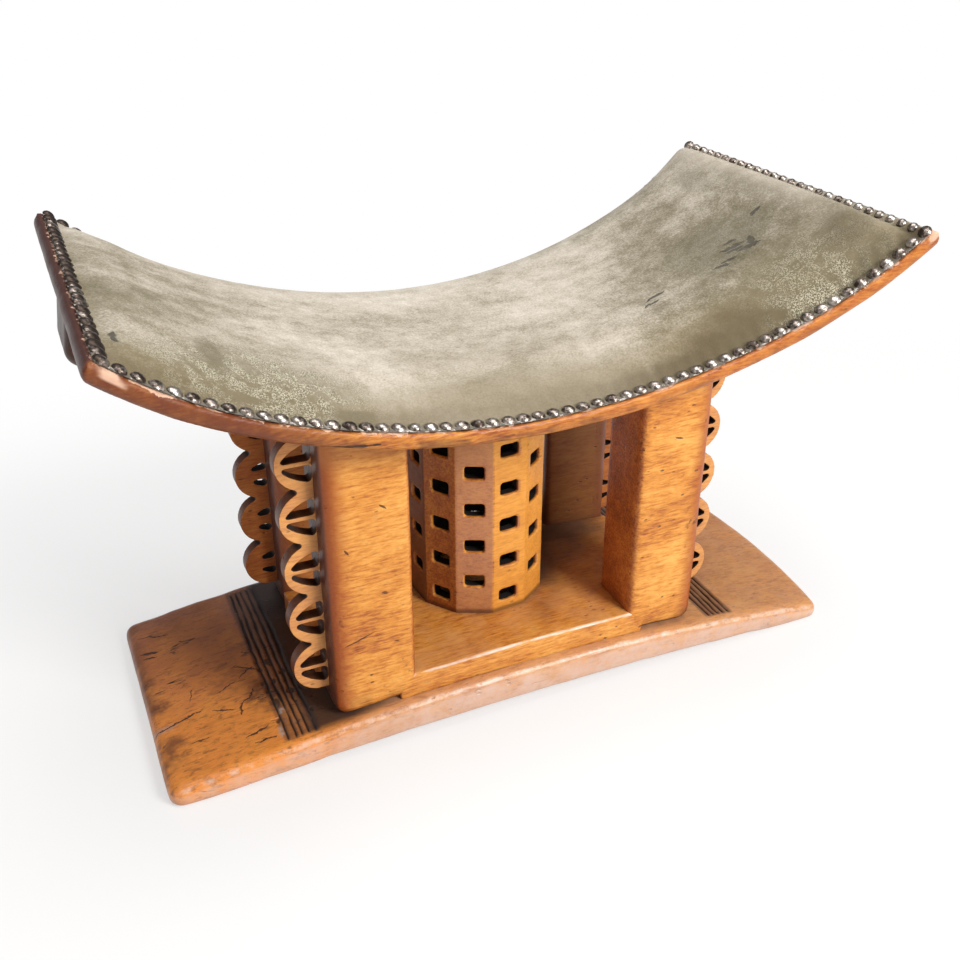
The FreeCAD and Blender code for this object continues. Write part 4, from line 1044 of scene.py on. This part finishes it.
cover.data.materials.clear()
cover.data.materials.append(velvet())
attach(cover, "root")
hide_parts("seat_cover", "seat_padding")

# %% [markdown]
# The nails have small dome heads of tarnished white metal. One nail is modelled: half a sphere, flattened,
# with its underside drawn in to a shank. It is copied to the place of every CAD nail, and each copy is
# tilted, turned and sized a little differently. The left end's heads look larger than the others, and the
# right end's smaller.

# %% One nail
HEAD_RADIUS, HEAD_HEIGHT = 5.5 * MM, 3.4 * MM
SHANK_RADIUS, SHANK_LENGTH = 0.9 * MM, 11.5 * MM

bpy.ops.mesh.primitive_uv_sphere_add(segments=12, ring_count=8, radius=HEAD_RADIUS)
nail = bpy.context.object
nail.name = "nail_pattern"
mode("EDIT")
bpy.ops.mesh.select_all(action="SELECT")
bpy.ops.mesh.bisect(plane_co=(0, 0, 0), plane_no=(0, 0, 1), clear_inner=True, use_fill=True)
bpy.ops.mesh.select_all(action="DESELECT")
mode("OBJECT")
for vertex in nail.data.vertices:
    vertex.co.z *= HEAD_HEIGHT / HEAD_RADIUS
for face in nail.data.polygons:
    face.select = face.normal.z < -0.9
mode("EDIT")
bpy.ops.mesh.select_mode(type="FACE")
bpy.ops.mesh.inset(thickness=HEAD_RADIUS - SHANK_RADIUS)
bpy.ops.mesh.extrude_region_move(TRANSFORM_OT_translate={"value": (0, 0, -SHANK_LENGTH)})
mode("OBJECT")
bpy.ops.object.shade_smooth_by_angle(angle=math.radians(50))
print("nail:", len(nail.data.polygons), "faces")


# %% Find the CAD nails
def nail_tops(node):
    """The top of each nail of a CAD node, in the order of its mesh, and the direction that it points."""
    tops = []
    shape = bmesh.new()
    shape.from_mesh(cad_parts[node].data)
    bmesh.ops.remove_doubles(shape, verts=shape.verts, dist=1e-6)
    for first in shape.verts:
        if first.tag:
            continue
        first.tag = True
        island, waiting = [first.co.copy()], [first]
        while waiting:
            for edge in waiting.pop().link_edges:
                for vertex in edge.verts:
                    if not vertex.tag:
                        vertex.tag = True
                        island.append(vertex.co.copy())
                        waiting.append(vertex)
        middle = sum(island, Vector()) / len(island)
        square = seat_top(seat_run(middle.x))[1]
        height = max(place.dot(square) for place in island)
        crown = [place for place in island if place.dot(square) > height - 0.1 * MM]
        tops.append((sum(crown, Vector()) / len(crown), square))
    shape.free()
    return tops


# %% [markdown]
# The metal is silvery on top, brown where it is tarnished, and nearly black where it meets the cloth, which
# is dirt and painted shade. The noise that does this is coarser than a nail, so it changes from nail to nail.


# %% Nail metal
def tarnished_nails():
    """Dome heads, each tarnished in its own way."""
    finish = Finish("tarnished_nails")
    each = finish.noise(75, 1)
    dents = finish.noise(330, 2, 0.6)
    x, y, z = finish.axes()
    dull = (-x).between(0.266, 0.280)
    tarnish = (each - 0.5) * 1.5 + (dents - 0.5) * 1.6 + 0.46 - dull * 0.36
    colour = finish.ramp(tarnish, (0.15, (0.075, 0.055, 0.045)), (0.9, (0.74, 0.69, 0.64)),
                         (0.5, (0.40, 0.34, 0.30)))
    # Dirt and painted shade: the metal goes nearly black where it meets the cloth.
    dirt_and_shade = finish.openness(4 * MM).between(0.90, 0.45)
    finish.set(Base_Color=finish.paint(colour, (dirt_and_shade * 0.9, (0.022, 0.017, 0.014))), Metallic=1 - dirt_and_shade * 0.8,
               Roughness=0.30 + dirt_and_shade * 0.4 + (1 - tarnish) * 0.14, Normal=finish.bump(dents, 0.6 * MM, 0.8))
    return finish.material


# %% Set the nails
HEAD_SIZES, TILTS = {"left": 1.14, "right": 0.78}, {"left": 0.16}
nail_metal = tarnished_nails()
hand = random.Random(11)
for side in ("front", "back", "left", "right"):
    row = bmesh.new()
    for top, square in nail_tops(f"{side}_nails"):
        tilt = Vector((hand.uniform(-1, 1), hand.uniform(-1, 1), 0)) * TILTS.get(side, 0.10)
        turn = (square + tilt).to_track_quat("Z", "Y").to_matrix().to_4x4()
        size = hand.uniform(0.88, 0.96) * HEAD_SIZES.get(side, 1)
        spin = Matrix.Rotation(hand.uniform(0, math.pi), 4, "Z")
        copy = nail.data.copy()
        turned = Matrix.Translation(top - square * HEAD_HEIGHT) @ turn @ spin
        copy.transform(turned @ Matrix.Diagonal((size, size, 1, 1)))
        row.from_mesh(copy)
        bpy.data.meshes.remove(copy)
    mesh = bpy.data.meshes.new(f"{side}_nail_row")
    row.to_mesh(mesh)
    row.free()
    nails = bpy.data.objects.new(f"{side}_nail_row", mesh)
    bpy.context.scene.collection.objects.link(nails)
    only(nails)
    bpy.ops.object.shade_smooth_by_angle(angle=math.radians(50))
    mesh.materials.append(nail_metal)
    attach(nails, "root")
    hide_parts(f"{side}_nails")
    print(nails.name, len(mesh.polygons), "faces")
bpy.data.objects.remove(nail)
